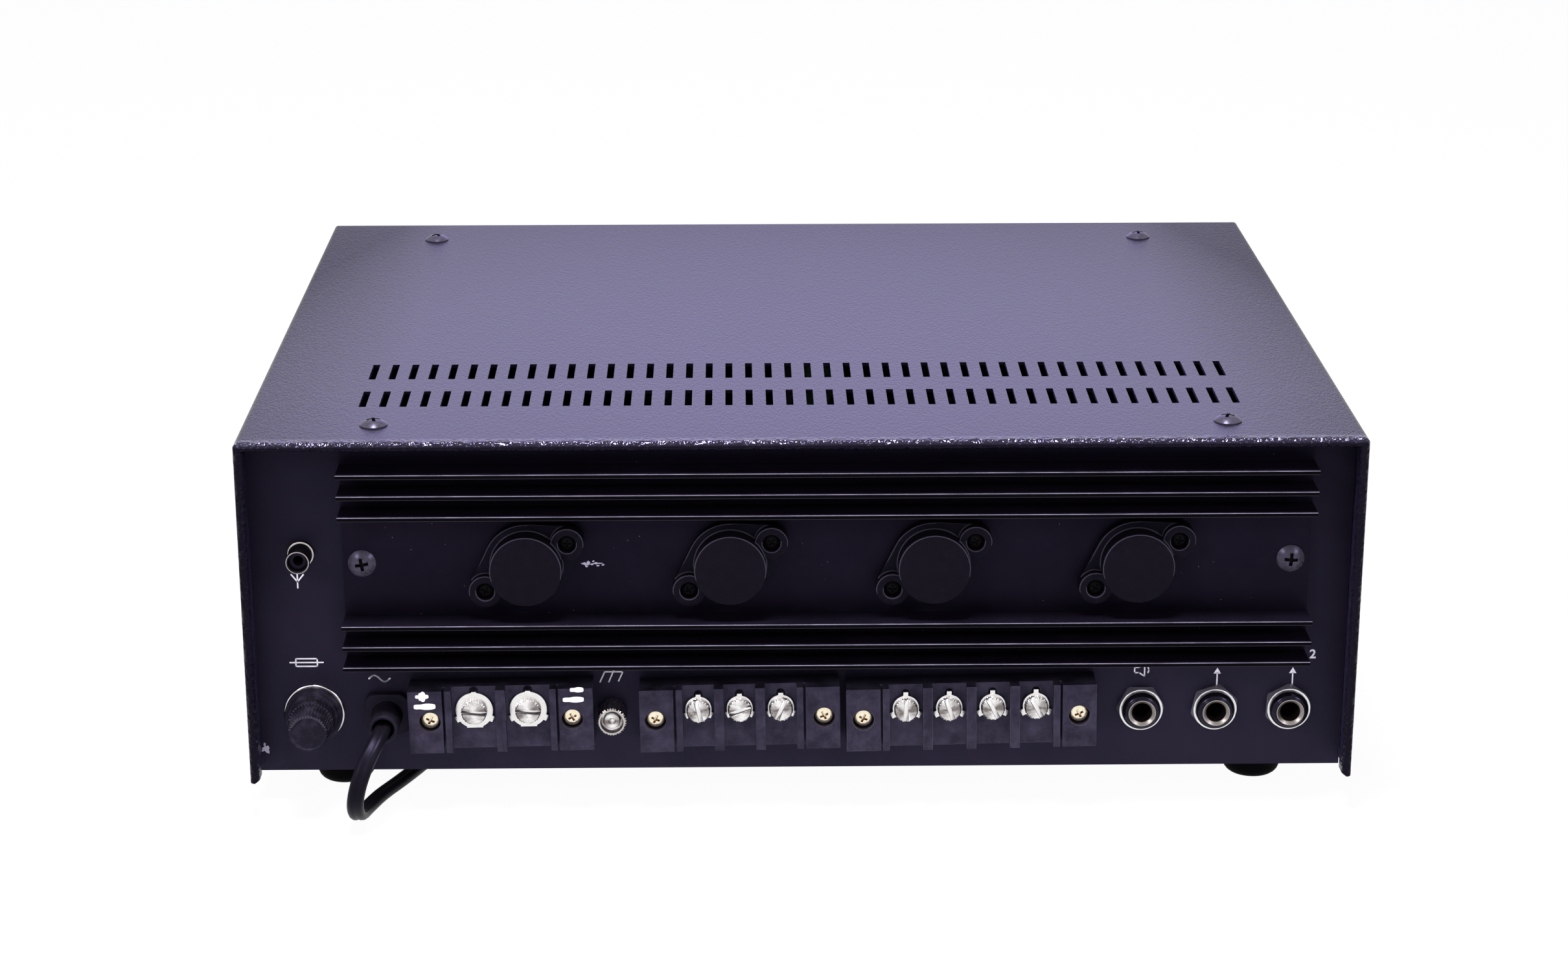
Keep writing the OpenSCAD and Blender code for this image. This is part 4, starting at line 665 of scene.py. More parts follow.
# Brass screws: yellow zinc plate with an iridescent tinge, bright on the rims of their recesses. Painted
# shade darkens their recess walls and the outer rims of their heads
yellow_zinc = mottled("yellow_zinc_plate", 1.6, "#f5dfa6", "#fffdf6", 0.14, 0.32, 0.2, 0.0004, detail=3.0,
                      Metallic=0.95)
shaded_yellow_zinc = start_material("yellow_zinc_recess_painted_shade", Metallic=0.7, Roughness=0.35, Base_Color="#8f5727")[0]
rim_shaded_yellow_zinc = start_material("yellow_zinc_rim_painted_shade", Metallic=0.8, Roughness=0.35, Base_Color="#5d4938")[0]
block_z, block_tilt, block_t, brass_r, brass_h = 0.032, 1, 0.011, 0.0029, 0.0028
rib_w, groove_w, block_end, sunk = 0.003, 0.0028, 0.0108, 0.0046
# Place along the row, poles, pitch, head radius, angle of each slot and how far in the end screws stand
blocks = {"dc": (-0.0953, 2, 0.0171, 0.0041, (-7, -6), 0.0013),
          "speaker": (-0.0197, 3, 0.0131, 0.0038, (104, 21, 68), -0.0004),
          "line": (0.0538, 4, 0.0138, 0.0038, (90, 110, 118, 120), 0)}
screw = cross_screw(brass_r, brass_h, shank_r=0.0015, shank_l=0.0127, dome=0.16)
for block, (u, poles, pitch, head_r, slots, inwards) in blocks.items():
    end = (poles * pitch - rib_w + 2 * (groove_w + block_end)) / 2 - block_end / 2 - inwards
    for side in (-1, 1):
        spot = on_rear(u, block_z, 0, block_tilt) @ Matrix.Translation((side * end, 0, block_t - sunk))
        spot = spot @ Matrix.Rotation(0.44 * side, 4, "Z")
        piece = repeat(screw, "%s_block_screw_%s" % (block, "ab"[side > 0]), spot, yellow_zinc, "brass_plate",
                       "terminal_block_screws")
        finish_faces(piece, shaded_yellow_zinc, spot, lambda m, n: n.z < 0.6 and in_recess(brass_r, brass_h)(m, n))
        finish_faces(piece, rim_shaded_yellow_zinc, spot, lambda m, n: math.hypot(m.x, m.y) > brass_r - 0.0003)
bpy.data.objects.remove(screw)
dress(yellow_zinc, "terminal_tags")


# Terminal screws and clamp plates: bright zinc-plated steel. A screw has a slotted head with a serrated rim
# and lifts its plate as it is turned, so that a wire goes under it.
bright_zinc = mottled("bright_zinc_plate", 2.2, "#d9d3d2", "#ffffff", 0.14, 0.38, 0.1, detail=6.0, harsh=0.65,
                      Metallic=1.0)

# The same plate on a turned face, with a painted reflection: its colour is light and dark in a bow tie, as
# the tool's rings fan the light, and follows the angle round the axis, which each screw keeps in an attribute
# of its own
painted_reflection_zinc, tree, place = start_material("turned_zinc_painted_reflection", Metallic=1.0)
lathe = add(tree, "Attribute", attribute_name="turning")
ends = add(tree, "SeparateXYZ", {0: lathe.node.outputs["Vector"]})
angle = add(tree, "Math", {0: ends.node.outputs["Y"], 1: ends.node.outputs["X"]}, operation="ARCTAN2")
fan = add(tree, "Math", {0: add(tree, "Math", {0: angle, 1: 2.0, 2: 2.7}, operation="MULTIPLY_ADD")},
          operation="COSINE")
ray = add(tree, "VectorMath", {0: lathe.node.outputs["Vector"]}, operation="NORMALIZE")
ray_spot = add(tree, "VectorMath", {0: place, 1: (1000 / 9, 1000 / 9, 1000 / 9), 2: ray},
               operation="MULTIPLY_ADD")
rays = add(tree, "TexNoise", {"Vector": ray_spot, "Scale": 2.6, "Detail": 4.0, "Roughness": 0.6})
shine = add(tree, "Math", {0: fan, 1: 0.26, 2: rays}, operation="MULTIPLY_ADD")
shine_band = add(tree, "MapRange", {"Value": shine, "From Min": 0.22, "From Max": 0.78})
add(tree, "Mix", {0: shine_band, 6: "#7d7574", 7: "#f6f3f3"}, "Base Color", data_type="RGBA")
add(tree, "MapRange", {"Value": rays, "To Min": 0.2, "To Max": 0.4}, "Roughness")
# Painted shade: a dark copy of the plate for the walls of the screws' slots and the ground nut's dish
painted_shade_zinc = start_material("zinc_plate_painted_shade", Metallic=0.8, Roughness=0.5, Base_Color="#4a4345")[0]


def keep_turning(piece, place):
    """Keep each vert's place round the axis of a turned piece, for its material."""
    back = place.inverted()
    values = piece.data.attributes.new("turning", "FLOAT_VECTOR", "POINT").data
    for vert in piece.data.vertices:
        values[vert.index].vector = back @ vert.co


def slotted_screw(head_r, head_h, shank_r, shank_l, ribs, slot_w):
    """Screw on the floor plane with a flat head, a serrated rim and a slot along x."""
    rod(4 * ribs, head_r, head_h, head_h / 2)
    pick_end(1)
    inset(0.12 * head_r)
    knurl(ribs, 0.955, -head_h, head_h, 0.95 * head_r)
    pick_end(-1)
    inset(head_r - shank_r)
    pull(0, 0, -shank_l)
    pick("verts", lambda m, v: m.z > head_h / 2 - 1e-6 and math.hypot(m.x, m.y) > 0.93 * head_r)
    rise(-0.00035)
    screw = close("slotted_screw", smooth=30)
    begin(bpy.ops.mesh.primitive_cube_add, size=1, location=(0, 0, head_h),
          scale=(3 * head_r, slot_w, 0.5 * head_h))
    cut(screw, close("slot_cutter"))
    return screw


pad_t, terminal_lift, slot_w = 0.008, 0.0026, 0.0014
for block, (u, poles, pitch, head_r, slots, inwards) in blocks.items():
    screw = slotted_screw(head_r, head_h=0.0024, shank_r=0.00175, shank_l=0.007, ribs=32, slot_w=slot_w)
    for i, turn in enumerate(slots):
        name = "%s_screw_%d" % (block, i + 1)
        along = (i - (poles - 1) / 2) * pitch
        spot = on_rear(u, block_z, 0, block_tilt) @ Matrix.Translation((along, terminal_lift, pad_t))
        turned = spot @ Matrix.Rotation(math.radians(turn), 4, "Z")
        piece = repeat(screw, "slotted_" + name, turned, painted_reflection_zinc, "bright_plate", name, body=name)
        keep_turning(piece, spot)
        # Painted shade on the slot's walls
        finish_faces(piece, painted_shade_zinc, turned, lambda m, n: abs(m.y) < 0.00072 and m.z > 0.0017
                     and abs(n.y) > 0.7)
        finish_faces(piece, bright_zinc, turned, lambda m, n: abs(m.y) < slot_w / 2 and 0.0017 < m.z < 0.0019
                     and n.z > 0.7)
        name = "%s_clamp_%d" % (block, i + 1)
        soften(name, "pressed_" + name, bright_zinc, "bright_plate", 0.00018, body=name)
    bpy.data.objects.remove(screw)


# Ground post: a plated stud with a knurled thumb nut, dished round the stud's drilled end.
ground_u, nut_r, nut_l, nut_bore_r, dish_t = -0.0603, 0.0046, 0.0086, 0.00255, 0.0018
rod(128, nut_r, nut_l, nut_l / 2)
pick_end(1)
inset(0.0004)
inset(0.0005)
pull(0, 0, -dish_t)
bpy.ops.transform.resize(value=(0.93, 0.93, 1), center_override=(0, 0, 0))
knurl(32, 0.94, -nut_l, nut_l, nut_r - 0.0001)
pick("verts", lambda m, v: m.z > nut_l / 2 - 1e-6 and math.hypot(m.x, m.y) > nut_r - 0.0004)
rise(-0.0003)
nut = close("nut_model", smooth=28)
rod(48, nut_bore_r, 0.03)
cut(nut, close("bore"))
spot = on_rear(ground_u, row_z, 0.0016)
piece = put(nut, "knurled_ground_nut", spot, nickel, "post_metal", "ground_thumb_nut",
            body="ground_thumb_nut")
keep_turning(piece, spot)
# Painted shade in the dish round the stud
finish_faces(piece, painted_shade_zinc, spot, lambda m, n: math.hypot(m.x, m.y) < nut_r - 0.0008
             and m.z < nut_l - 0.0001)
finish_faces(piece, painted_reflection_zinc, spot, lambda m, n: n.z > 0.9 and math.hypot(m.x, m.y) < nut_r - 0.0008)
piece = soften("ground_post", "ground_stud", painted_reflection_zinc, "post_metal", 0.0003)
keep_turning(piece, spot)


# Jack sockets: three 6.35 mm sockets whose polished black bushings come through the wall. Plated hex nuts
# hold them, each stopped at its own angle, and a metal sleeve lines each bore.
polished_black = mottled("polished_black_phenolic", 4, "#070609", "#141217", 0.1, 0.26, IOR=1.55,
                         Specular_IOR_Level=0.22, Specular_Tint="#cfc4ff")
soften("jack_bodies", "jack_bushings", polished_black, "jack_plastic", 0.0006, 4)
jack_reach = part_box("jack_bodies")[1].y - panel_y
dome_r, dome_w, dome_rim, dome_z, dome_foot = 0.0062, 0.0017, 0.0009, 0.00306, 0.0037
jack_u, jack_step, jack_bore_r, steps = 0.1087, 0.0237, 0.00442, 7
jack_spots = [on_rear(jack_u + jack_step * i, row_z) for i in range(3)]
rod(64, dome_r, dome_rim, dome_z)
pick_end(1)
for k in range(steps):
    inset(dome_w / steps)
    rise((jack_reach - dome_foot) * (2 * steps - 1 - 2 * k) / steps ** 2)
dome = close("dome", smooth=50)
rod(64, jack_bore_r, 0.05)
cut(dome, close("bore"))
for i, spot in enumerate(jack_spots):
    repeat(dome, "jack_dome_%d" % (i + 1), spot, polished_black, "jack_plastic", "jack_bodies")
bpy.data.objects.remove(dome)
sleeve_plate = start_material("dull_sleeve_plate", Metallic=1.0, Roughness=0.35, Base_Color="#8e8784")[0]
piece = soften("jack_sleeves", "jack_liners", sleeve_plate, "bright_plate", 0.0002)
# Painted shade: a dark plate on the walls inside each bore; the sleeve's outer chamfer takes the bright plate
shaded_bore = start_material("shaded_sleeve_bore", Metallic=0.5, Roughness=0.5, Base_Color="#1d1517")[0]
for spot in jack_spots:
    finish_faces(piece, shaded_bore, spot, lambda m, n: math.hypot(m.x, m.y) < 0.0045
                 and m.x * n.x + m.y * n.y < 0 and abs(n.z) < 0.3)
    finish_faces(piece, bright_zinc, spot, lambda m, n: math.hypot(m.x, m.y) < 0.0046
                 and m.x * n.x + m.y * n.y > 0 and 0.1 < n.z < 0.97)


# Jack nuts: hex nuts cut from bar, with their corners turned down to a steep cone. The plate is bright on the
# narrow round face that shows beside the bushing; the cone and the flats take darker copies of it as painted
# shade.
cone_shade_nickel = mottled("nickel_cone_painted_shade", 3, "#5a5662", "#8f8b97", 0.22, 0.4, detail=4.0, Metallic=0.4)
flats_shade_nickel = start_material("nickel_flats_painted_shade", Metallic=0.35, Roughness=0.35, Base_Color="#8a8693")[0]
nut_af, nut_t, cone_low_r, cone_top_r, thread_r = 0.0137, 0.0026, 0.0077, 0.0069, 0.00552
rod(6, nut_af / math.sqrt(3), nut_t, nut_t / 2, rotation=(0, 0, math.pi / 6))
nut = close("hex_nut")
begin(bpy.ops.mesh.primitive_cone_add, vertices=96, radius1=cone_low_r, radius2=cone_top_r, depth=nut_t,
      location=(0, 0, nut_t / 2))
cut(nut, close("chamfer"), "INTERSECT")
rod(64, thread_r, 3 * nut_t)
cut(nut, close("bore"))
use_modifier(nut, "BEVEL", width=0.00016, segments=2, limit_method="ANGLE", angle_limit=math.radians(20))
for i, turn in enumerate((0, 18, 28)):
    spot = jack_spots[i] @ Matrix.Rotation(math.radians(turn), 4, "Z")
    piece = repeat(nut, "jack_hex_nut_%d" % (i + 1), spot, chrome, "nickel", "jack_nuts")
    finish_faces(piece, cone_shade_nickel, spot, lambda m, n: 0.2 < n.z < 0.4)
    finish_faces(piece, flats_shade_nickel, spot, lambda m, n: abs(n.z) < 0.1)
bpy.data.objects.remove(nut)


# Marks on the rear: white screen printing, a hair thick. Plain signs stand where the maker's words would be:
# an aerial, a fuse, a mains wave, a chassis rake, a loudspeaker, two arrows and a socket number.
white_ink, tree, place = start_material("white_screen_ink", Specular_IOR_Level=0.3, Roughness=0.55)
thin = add(tree, "TexNoise", {"Vector": place, "Scale": 1000 / 0.8, "Detail": 3.0})
add(tree, "Mix", {0: thin, 6: "#cfcad8", 7: "#f4f2f8"}, "Base Color", data_type="RGBA")
ink_t = 0.00006


def join(pieces):
    """Join pieces into the first one."""
    bpy.ops.object.select_all(action="DESELECT")
    for piece in pieces:
        piece.select_set(True)
    bpy.context.view_layer.objects.active = pieces[0]
    bpy.ops.object.join()
    return bpy.context.object


def line_sign(strokes, width):
    """Flat sign on the floor plane. Each stroke is a run of points in millimetres, with rounded ends."""
    bars = []
    for run in strokes:
        for a, b in zip(run, run[1:]):
            a, b = Vector(a) / 1000, Vector(b) / 1000
            middle = ((a + b) / 2).to_3d() + Vector((0, 0, ink_t / 2))
            begin(bpy.ops.mesh.primitive_cube_add, size=1, location=middle,
                  rotation=(0, 0, math.atan2(b.y - a.y, b.x - a.x)),
                  scale=((b - a).length + width, width, ink_t))
            bars.append(close("bar"))
            bpy.ops.object.mode_set(mode="EDIT")
            pick("edges", lambda m, e: abs(e.verts[0].co.z - e.verts[1].co.z) > ink_t / 2)
            bpy.ops.mesh.bevel(offset=width * 0.35, segments=2, affect="EDGES")
            bpy.ops.object.mode_set(mode="OBJECT")
    return join(bars)


def number_sign(text, size):
    """Flat number on the floor plane."""
    bpy.ops.object.select_all(action="DESELECT")
    bpy.ops.object.text_add()
    letters = bpy.context.object
    letters.data.body = text
    letters.data.size = size
    letters.data.offset = 0.02 * size
    letters.data.align_x = "CENTER"
    letters.data.align_y = "CENTER"
    letters.data.extrude = ink_t / 2
    bpy.ops.object.convert(target="MESH")
    letters.data.transform(Matrix.Translation((0, 0, ink_t / 2)))
    return letters


wave = [(k * 0.55 - 3.3, 1.1 * math.sin(k * math.pi / 6)) for k in range(13)]
signs = {
    "aerial_sign": (-0.1589, 0.0755, [[(0, -2.2), (0, 2.2)], [(-1.9, 2.2), (0, -0.2), (1.9, 2.2)]], 0.00045),
    "fuse_sign": (-0.1573, 0.048, [[(-3.4, -1.3), (3.4, -1.3), (3.4, 1.3), (-3.4, 1.3), (-3.4, -1.3)],
                                   [(-5.2, 0), (5.2, 0)]], 0.00045),
    "mains_sign": (-0.1344, 0.0424, [wave], 0.0005),
    "rake_sign": (-0.0603, 0.0426, [[(-2.4, 1.6), (3.4, 1.6)], [(-2.4, 1.6), (-3.9, -1.8)],
                                    [(0.5, 2.1), (-1.1, -1.8)], [(3.4, 1.6), (2.0, -1.5)]], 0.00042),
    "speaker_sign": (0.1091, 0.0437, [[(-2.6, -0.9), (-1.2, -0.9), (0.6, -2.1), (0.6, 2.1), (-1.2, 0.9),
                                       (-2.6, 0.9), (-2.6, -0.9)], [(1.7, -0.9), (2.0, 0), (1.7, 0.9)]],
                     0.00042)}
for name, (u, h, strokes, width) in signs.items():
    put(line_sign(strokes, width), name, on_rear(u, h), white_ink, "panel_paint")
for i, u in enumerate((0.133, 0.1572)):
    shaft = line_sign([[(0, -3.2), (0, 2)]], 0.00042)
    begin(bpy.ops.mesh.primitive_cylinder_add, vertices=3, radius=0.00135, depth=ink_t,
          location=(0, 0.0024, ink_t / 2))
    bpy.ops.mesh.select_all(action="SELECT")
    bpy.ops.mesh.bevel(offset=0.00002, segments=1, affect="EDGES")
    arrow = join([shaft, close("arrow_head")])
    put(arrow, "arrow_sign_%d" % (i + 1), on_rear(u, 0.0406), white_ink, "panel_paint")
put(number_sign("2", 0.0042), "socket_number", on_rear(0.1633, 0.0487), white_ink, "panel_paint")


# Polarity marks: white paint brushed by hand on the battery block's ends, a plus and a minus, each with
# a dash.
def brush_mark(x, y, length, width, lift):
    """One brushed dab on the face of a block's end: rounded, thicker in its middle, and a little uneven."""
    begin(bpy.ops.mesh.primitive_cube_add, size=1, location=(x, y, lift))
    bpy.ops.mesh.select_all(action="SELECT")
    bpy.ops.transform.resize(value=(length, width, 0.00016), center_override=(x, y, lift))
    for k, bulge in enumerate((0.62, 0.86, 1.15, 0.94, 0.78)):
        along = length * (k - 2) / 5.4
        bpy.ops.mesh.select_all(action="SELECT")
        bpy.ops.mesh.bisect(plane_co=(x + along, y, 0), plane_no=(1, 0, 0))
        pick("verts", lambda m, v: abs(m.x - along) < 1e-6)
        bpy.ops.transform.resize(value=(1, bulge, 1), center_override=(x, y, 0))
    pick("verts", lambda m, v: abs(m.x) > 0.49 * length)
    bpy.ops.transform.resize(value=(1, 0.5, 1), center_override=(x, y, 0))
    pick("edges", lambda m, e: abs(e.verts[0].co.z - e.verts[1].co.z) > 0.0001)
    bpy.ops.mesh.bevel(offset=0.1 * min(length, width), segments=3, affect="EDGES")
    return close("dab")


white_paint, tree, place = start_material("brushed_white_paint", Specular_IOR_Level=0.3, Roughness=0.5)
strokes = add(tree, "TexNoise", {"Vector": place, "Scale": 1000 / 0.8, "Detail": 3.0})
add(tree, "Mix", {0: strokes, 6: "#f3f1f7", 7: "#ffffff"}, "Base Color", data_type="RGBA")
for name, side, dabs in (
        ("plus_mark", -1, ((-0.0008, 0.0089, 0.0042, 0.0018), (-0.0008, 0.0089, 0.0021, 0.0042),
                           (-0.0001, 0.0055, 0.0068, 0.0025))),
        ("minus_mark", 1, ((0.0005, 0.0101, 0.0043, 0.0021), (-0.0007, 0.0068, 0.0066, 0.0023)))):
    dab = join([brush_mark(side * 0.0238 + x, y, length, width, block_t + 0.00004 + 0.00002 * k)
                for k, (x, y, length, width) in enumerate(dabs)])
    put(dab, name, on_rear(blocks["dc"][0], block_z, 0, block_tilt), white_paint, "block_plastic")


# Knocks: a chip in the paint beside the cover's edge and a scratch on the web, where the metal is bared.
bare_steel = start_material("bared_steel", Metallic=0.6, Roughness=0.5, Base_Color="#b3aec4")[0]
uneven = (1.0, 0.7, 1.3, 0.9, 0.6, 1.2, 1.4, 0.8, 0.7)
for name, spot, spread in (
        ("paint_chip", on_rear(-0.1718, 0.0184),
         ((0, 0, 0.9, 1.3), (0.8, 0.3, 0.6, 0.7), (-0.2, 1.6, 0.4, 0.7), (0.9, -1.1, 0.4, 0.5),
          (-0.9, -0.6, 0.3, 0.4))),
        ("web_scratch", on_rear(-0.0657, 0.0818, web_t),
         ((-2.6, 0.1, 0.9, 0.5), (-1.3, 0.3, 0.7, 0.6), (-0.2, -0.1, 0.6, 0.35), (0.9, 0.2, 0.7, 0.3),
          (2.3, 0.2, 0.8, 0.2), (-2.0, -0.7, 0.5, 0.3), (0.2, 0.9, 0.4, 0.3), (1.6, -0.6, 0.5, 0.25),
          (3.2, -0.3, 0.4, 0.25)))):
    flakes = []
    for j, (x, y, wide, high) in enumerate(spread):
        begin(bpy.ops.mesh.primitive_circle_add, vertices=9, radius=0.001, fill_type="NGON",
              location=(x / 1000, y / 1000, 0))
        for k in range(9):
            pick("verts", lambda m, v: v.index == k)
            bpy.ops.transform.resize(value=(wide * uneven[(k + j) % 9], high * uneven[(k + 2 * j) % 9], 1),
                                     center_override=(x / 1000, y / 1000, 0))
        pick("faces", lambda m, f: True)
        pull(0, 0, 0.00004 + 0.00001 * j)
        flakes.append(close("flake"))
    put(join(flakes), name, spot, bare_steel, "bright_plate")


# Inside: a mains transformer with a stack of varnished laminations and a taped winding, the amplifier board,
# two reservoir capacitors in blue sleeves and the level controls. They show through the vent slots only.
laminations, tree, place = start_material("varnished_laminations_and_tape", Specular_IOR_Level=0.4)
lo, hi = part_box("mains_transformer")
local = add(tree, "VectorMath", {0: place, 1: (lo + hi) / 2}, operation="SUBTRACT")
axes = add(tree, "SeparateXYZ", {0: local})
far = add(tree, "Math", {0: axes.node.outputs["Y"]}, operation="ABSOLUTE")
tape = add(tree, "Math", {0: far, 1: 0.0212}, operation="GREATER_THAN")
sheets = add(tree, "TexWave", {"Vector": local, "Scale": 1000 / 8, "Distortion": 0.4}, bands_direction="Y")
iron = add(tree, "Mix", {0: sheets.node.outputs["Fac"], 6: "#4a463f", 7: "#79736a"}, data_type="RGBA")
add(tree, "Mix", {0: tape, 6: iron, 7: "#b9983f"}, "Base Color", data_type="RGBA")
add(tree, "Bump", {"Height": sheets.node.outputs["Fac"], "Strength": 0.3, "Distance": 0.0004}, "Normal")
dress(laminations, "mains_transformer")

board, tree, place = start_material("green_circuit_laminate", Specular_IOR_Level=0.5, Roughness=0.35)
tracks = add(tree, "TexBrick", {"Vector": place, "Scale": 1000 / 40, "Color1": "#2c5a33", "Color2": "#386b3e",
                                "Mortar": "#5f8a55", "Mortar Size": 0.03})
high = add(tree, "SeparateXYZ", {0: place})
part = add(tree, "Math", {0: high.node.outputs["Z"], 1: 0.0222}, operation="GREATER_THAN")
add(tree, "Mix", {0: part, 6: tracks, 7: "#2a2a2d"}, "Base Color", data_type="RGBA")
dress(board, "amplifier_board")

sleeve, tree, place = start_material("blue_shrink_sleeve", Specular_IOR_Level=0.5, Roughness=0.3)
stripe = add(tree, "TexWave", {"Vector": place, "Scale": 1000 / 60, "Distortion": 0.2}, bands_direction="X")
edge = add(tree, "Math", {0: stripe.node.outputs["Fac"], 1: 0.93}, operation="GREATER_THAN")
add(tree, "Mix", {0: edge, 6: "#26385c", 7: "#8f9ab3"}, "Base Color", data_type="RGBA")
dress(sleeve, "reservoir_capacitors")
dress(nickel, "control_pots")


# Front panel: a thick aluminium plate in satin black with white scales. The photograph doesn't show it, so
# its layout is a plain one for such an amplifier: four level knobs, a lamp and a rocker switch.
satin_black, tree, place = start_material("satin_black_lacquer", IOR=1.5, Specular_IOR_Level=0.4)
brush = add(tree, "Mapping", {"Vector": place, "Scale": (1000 / 40, 1000 / 0.5, 1000 / 0.5)})
hair = add(tree, "TexNoise", {"Vector": brush, "Scale": 1.0, "Detail": 4.0})
add(tree, "Mix", {0: hair, 6: "#17161a", 7: "#26242b"}, "Base Color", data_type="RGBA")
add(tree, "MapRange", {"Value": hair, "To Min": 0.34, "To Max": 0.5}, "Roughness")
add(tree, "Bump", {"Height": hair, "Strength": 0.08, "Distance": 0.0002}, "Normal")
soften("front_panel", "front_plate", satin_black, "front_paint", 0.0006, 3)
front_y, front_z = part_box("front_panel")[0].y, 0.067


def on_front(u, h, lift=0.0, turn=0.0):
    """Matrix from the floor plane to the front panel: u to the right seen from the front, lift outwards."""
    return (Matrix.Translation((u, front_y - lift, h)) @ Matrix.Rotation(math.pi / 2, 4, "X")
            @ Matrix.Rotation(math.radians(turn), 4, "Z"))


marks = []
for k in range(11):
    a = math.radians(240 - 30 * k)
    out = Vector((math.cos(a), math.sin(a)))
    marks.append(line_sign([[out * 15.2, out * (17.6 if k % 5 == 0 else 16.8)]], 0.0005))
    number = number_sign(str(k), 0.0036)
    number.data.transform(Matrix.Translation((out * 0.0206).to_3d()))
    marks.append(number)
scale = join(marks)
knob_spots = (-0.11, -0.058, -0.006, 0.046)
for i, u in enumerate(knob_spots):
    repeat(scale, "level_scale_%d" % (i + 1), on_front(u, front_z), white_ink, "front_paint")
bpy.data.objects.remove(scale)


# Level knobs: moulded black plastic, a smooth skirt and a ribbed grip, with a white line filled into both.
knob_plastic = mottled("moulded_black_abs", 6, "#101013", "#212024", 0.28, 0.48, 0.06, IOR=1.53,
                       Specular_IOR_Level=0.45)
skirt_r, skirt_l, grip_r, knob_l = 0.013, 0.004, 0.011, 0.016
shaft_r, shaft_l, sink = 0.00305, 0.0112, 0.0004
rod(144, skirt_r, skirt_l, skirt_l / 2)
pick_end(1)
inset(0.0008)
inset(skirt_r - grip_r - 0.0008)
pull(0, 0, knob_l - skirt_l)
bpy.ops.transform.resize(value=(10 / 11, 10 / 11, 1), center_override=(0, 0, 0))
inset(0.0007)
inset(0.0012)
rise(-sink)
knurl(36, 0.945, skirt_l / 2 - 1e-6, knob_l, 0.0099)
pick("verts", lambda m, v: math.hypot(m.x, m.y) > skirt_r - 0.0002 and m.z > 0)
rise(-0.0006)
pick("verts", lambda m, v: m.z > knob_l - skirt_l / 2 - 1e-6 and math.hypot(m.x, m.y) > 0.00935)
rise(-0.0005)
pick_end(-1)
inset(skirt_r - shaft_r)
pull(0, 0, shaft_l)
knob = close("knob", smooth=28)
pointer = join([line_sign([[(0, 11.2), (0, 12.6)]], 0.0009), line_sign([[(0, 4.4), (0, 9.2)]], 0.0009)])
for v in pointer.data.vertices:
    v.co.z += skirt_l - ink_t / 2 if v.co.y > 0.0105 else knob_l - sink
for i, u in enumerate(knob_spots):
    name = "level_knob_%d" % (i + 1)
    spot = on_front(u, front_z, 0.0005)
    repeat(knob, "ribbed_" + name, spot, knob_plastic, "knob_plastic", name, body=name)
    repeat(pointer, "pointer_of_" + name, spot, white_ink, "knob_plastic", body=name)
bpy.data.objects.remove(knob)
bpy.data.objects.remove(pointer)


# Power switch and lamp: a snap-in frame of glossy black plastic with a red rocker, its two ends marked with
# a bar and a ring, and a red lens for the lamp.
def black_behind(tree, place, front):
    """Give a colour to the part of a piece in front of the panel, and black to the part inside."""
    along = add(tree, "SeparateXYZ", {0: place})
    behind = add(tree, "Math", {0: along.node.outputs["Y"], 1: front_y + 0.003}, operation="GREATER_THAN")
    add(tree, "Mix", {0: behind, 6: front, 7: "#0d0c0e"}, "Base Color", data_type="RGBA")


red_plastic, tree, place = start_material("moulded_red_plastic", IOR=1.5, Specular_IOR_Level=0.5)
touch = add(tree, "TexNoise", {"Vector": place, "Scale": 1000 / 5, "Detail": 4.0})
red = add(tree, "Mix", {0: touch, 6: "#84120f", 7: "#b3211b"}, data_type="RGBA")
black_behind(tree, place, red)
add(tree, "MapRange", {"Value": touch, "To Min": 0.18, "To Max": 0.32}, "Roughness")
soften("power_rocker", "red_rocker", red_plastic, "rocker_red", 0.0005, 3, body="power_rocker")
soften("switch_frame", "switch_bezel", polished_black, "switch_plastic", 0.0005, 3)
ring = [(1.1 * math.cos(k * math.pi / 8), 1.1 * math.sin(k * math.pi / 8)) for k in range(17)]
for name, h, strokes in (("on_bar", 0.0134, [[(0, -1), (0, 1)]]), ("off_ring", -0.0134, [ring])):
    put(line_sign(strokes, 0.0004), name, on_front(0.138, front_z + h, 0.0015), white_ink, "switch_plastic")
lens, tree, place = start_material("red_lamp_lens", IOR=1.49, Roughness=0.12)
ribs = add(tree, "TexWave", {"Vector": place, "Scale": 1000 / 6}, bands_direction="X")
red = add(tree, "Mix", {0: ribs.node.outputs["Fac"], 6: "#a31710", 7: "#d8382a"}, data_type="RGBA")
black_behind(tree, place, red)
soften("pilot_lamp", "lamp_lens", lens, "lamp_red", 0.0002)


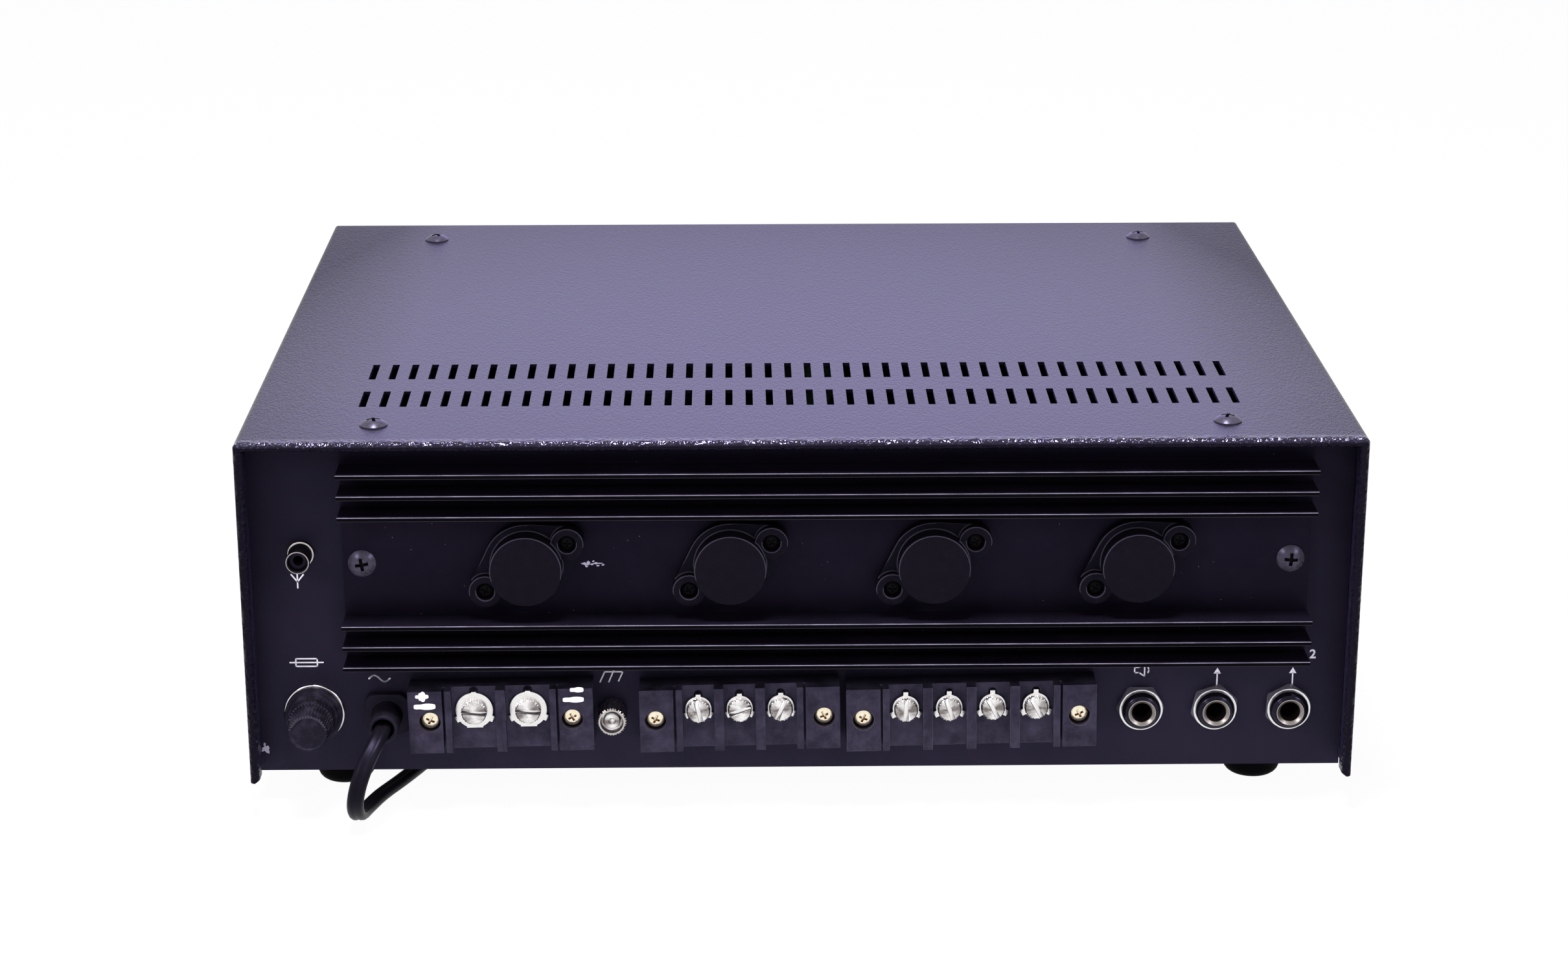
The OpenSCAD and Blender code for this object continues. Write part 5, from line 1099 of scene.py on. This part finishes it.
# Stage: a pale table top that runs out of sight, white to the camera but with the soft shadow of the case,
# a white room, and large soft lamps above, behind and beside the amplifier.
def seen(tree):
    """One for the rays that the camera sees, also in a mirror or through glass, and none for the others."""
    rays = add(tree, "LightPath").node.outputs
    seen_by = add(tree, "Math", {0: rays["Is Camera Ray"], 1: rays["Is Glossy Ray"]}, operation="MAXIMUM")
    return add(tree, "Math", {0: seen_by, 1: rays["Is Transmission Ray"]}, operation="MAXIMUM")


bpy.ops.object.select_all(action="DESELECT")
bpy.ops.mesh.primitive_plane_add(size=12)
floor = bpy.context.object
floor.name = "table_top"
table, tree, place = start_material("pale_table", Base_Color="#f2f1f4", Roughness=0.8)
share = add(tree, "Math", {0: seen(tree), 1: 0.96}, operation="MULTIPLY")
glow = add(tree, "Emission", {"Color": "#ffffff", "Strength": 1.0})
mixed = add(tree, "MixShader", {0: share, 1: tree.nodes["Principled BSDF"].outputs[0], 2: glow})
tree.links.new(mixed, tree.nodes["Material Output"].inputs["Surface"])
floor.data.materials.append(table)

world = bpy.data.worlds.new("white_room")
bpy.context.scene.world = world
world.use_nodes = True
tree = world.node_tree
dim = add(tree, "Background", {"Color": "#e4e1f0", "Strength": 0.2})
white = add(tree, "Background", {"Color": "#ffffff", "Strength": 1.0})
room = add(tree, "MixShader", {0: seen(tree), 1: dim, 2: white})
tree.links.new(room, tree.nodes["World Output"].inputs["Surface"])

for name, spot, aim, size, watts, tint in (
        ("lamp_above", (0.1, 0.35, 1.4), (0, 0.05, 0.05), 0.4, 36, "#ffffff"),
        ("lamp_camera_left", (1.0, 1.2, 0.9), (0, 0.1, 0.06), 0.5, 9, "#ffffff"),
        ("lamp_camera_right", (-1.1, 1.1, 0.8), (0, 0.1, 0.06), 0.5, 7, "#ffffff"),
        ("lamp_front", (-0.02, -1.5, 1.0), (0, 0.3, 0.05), 1.4, 7, "#a797ff")):
    bpy.ops.object.light_add(type="AREA", location=spot)
    lamp = bpy.context.object
    lamp.name = name
    lamp.data.shape = "DISK"
    lamp.data.size = size
    lamp.data.energy = watts
    lamp.data.color = linear(tint)[:3]
    lamp.rotation_euler = (Vector(aim) - Vector(spot)).to_track_quat("-Z", "Y").to_euler()
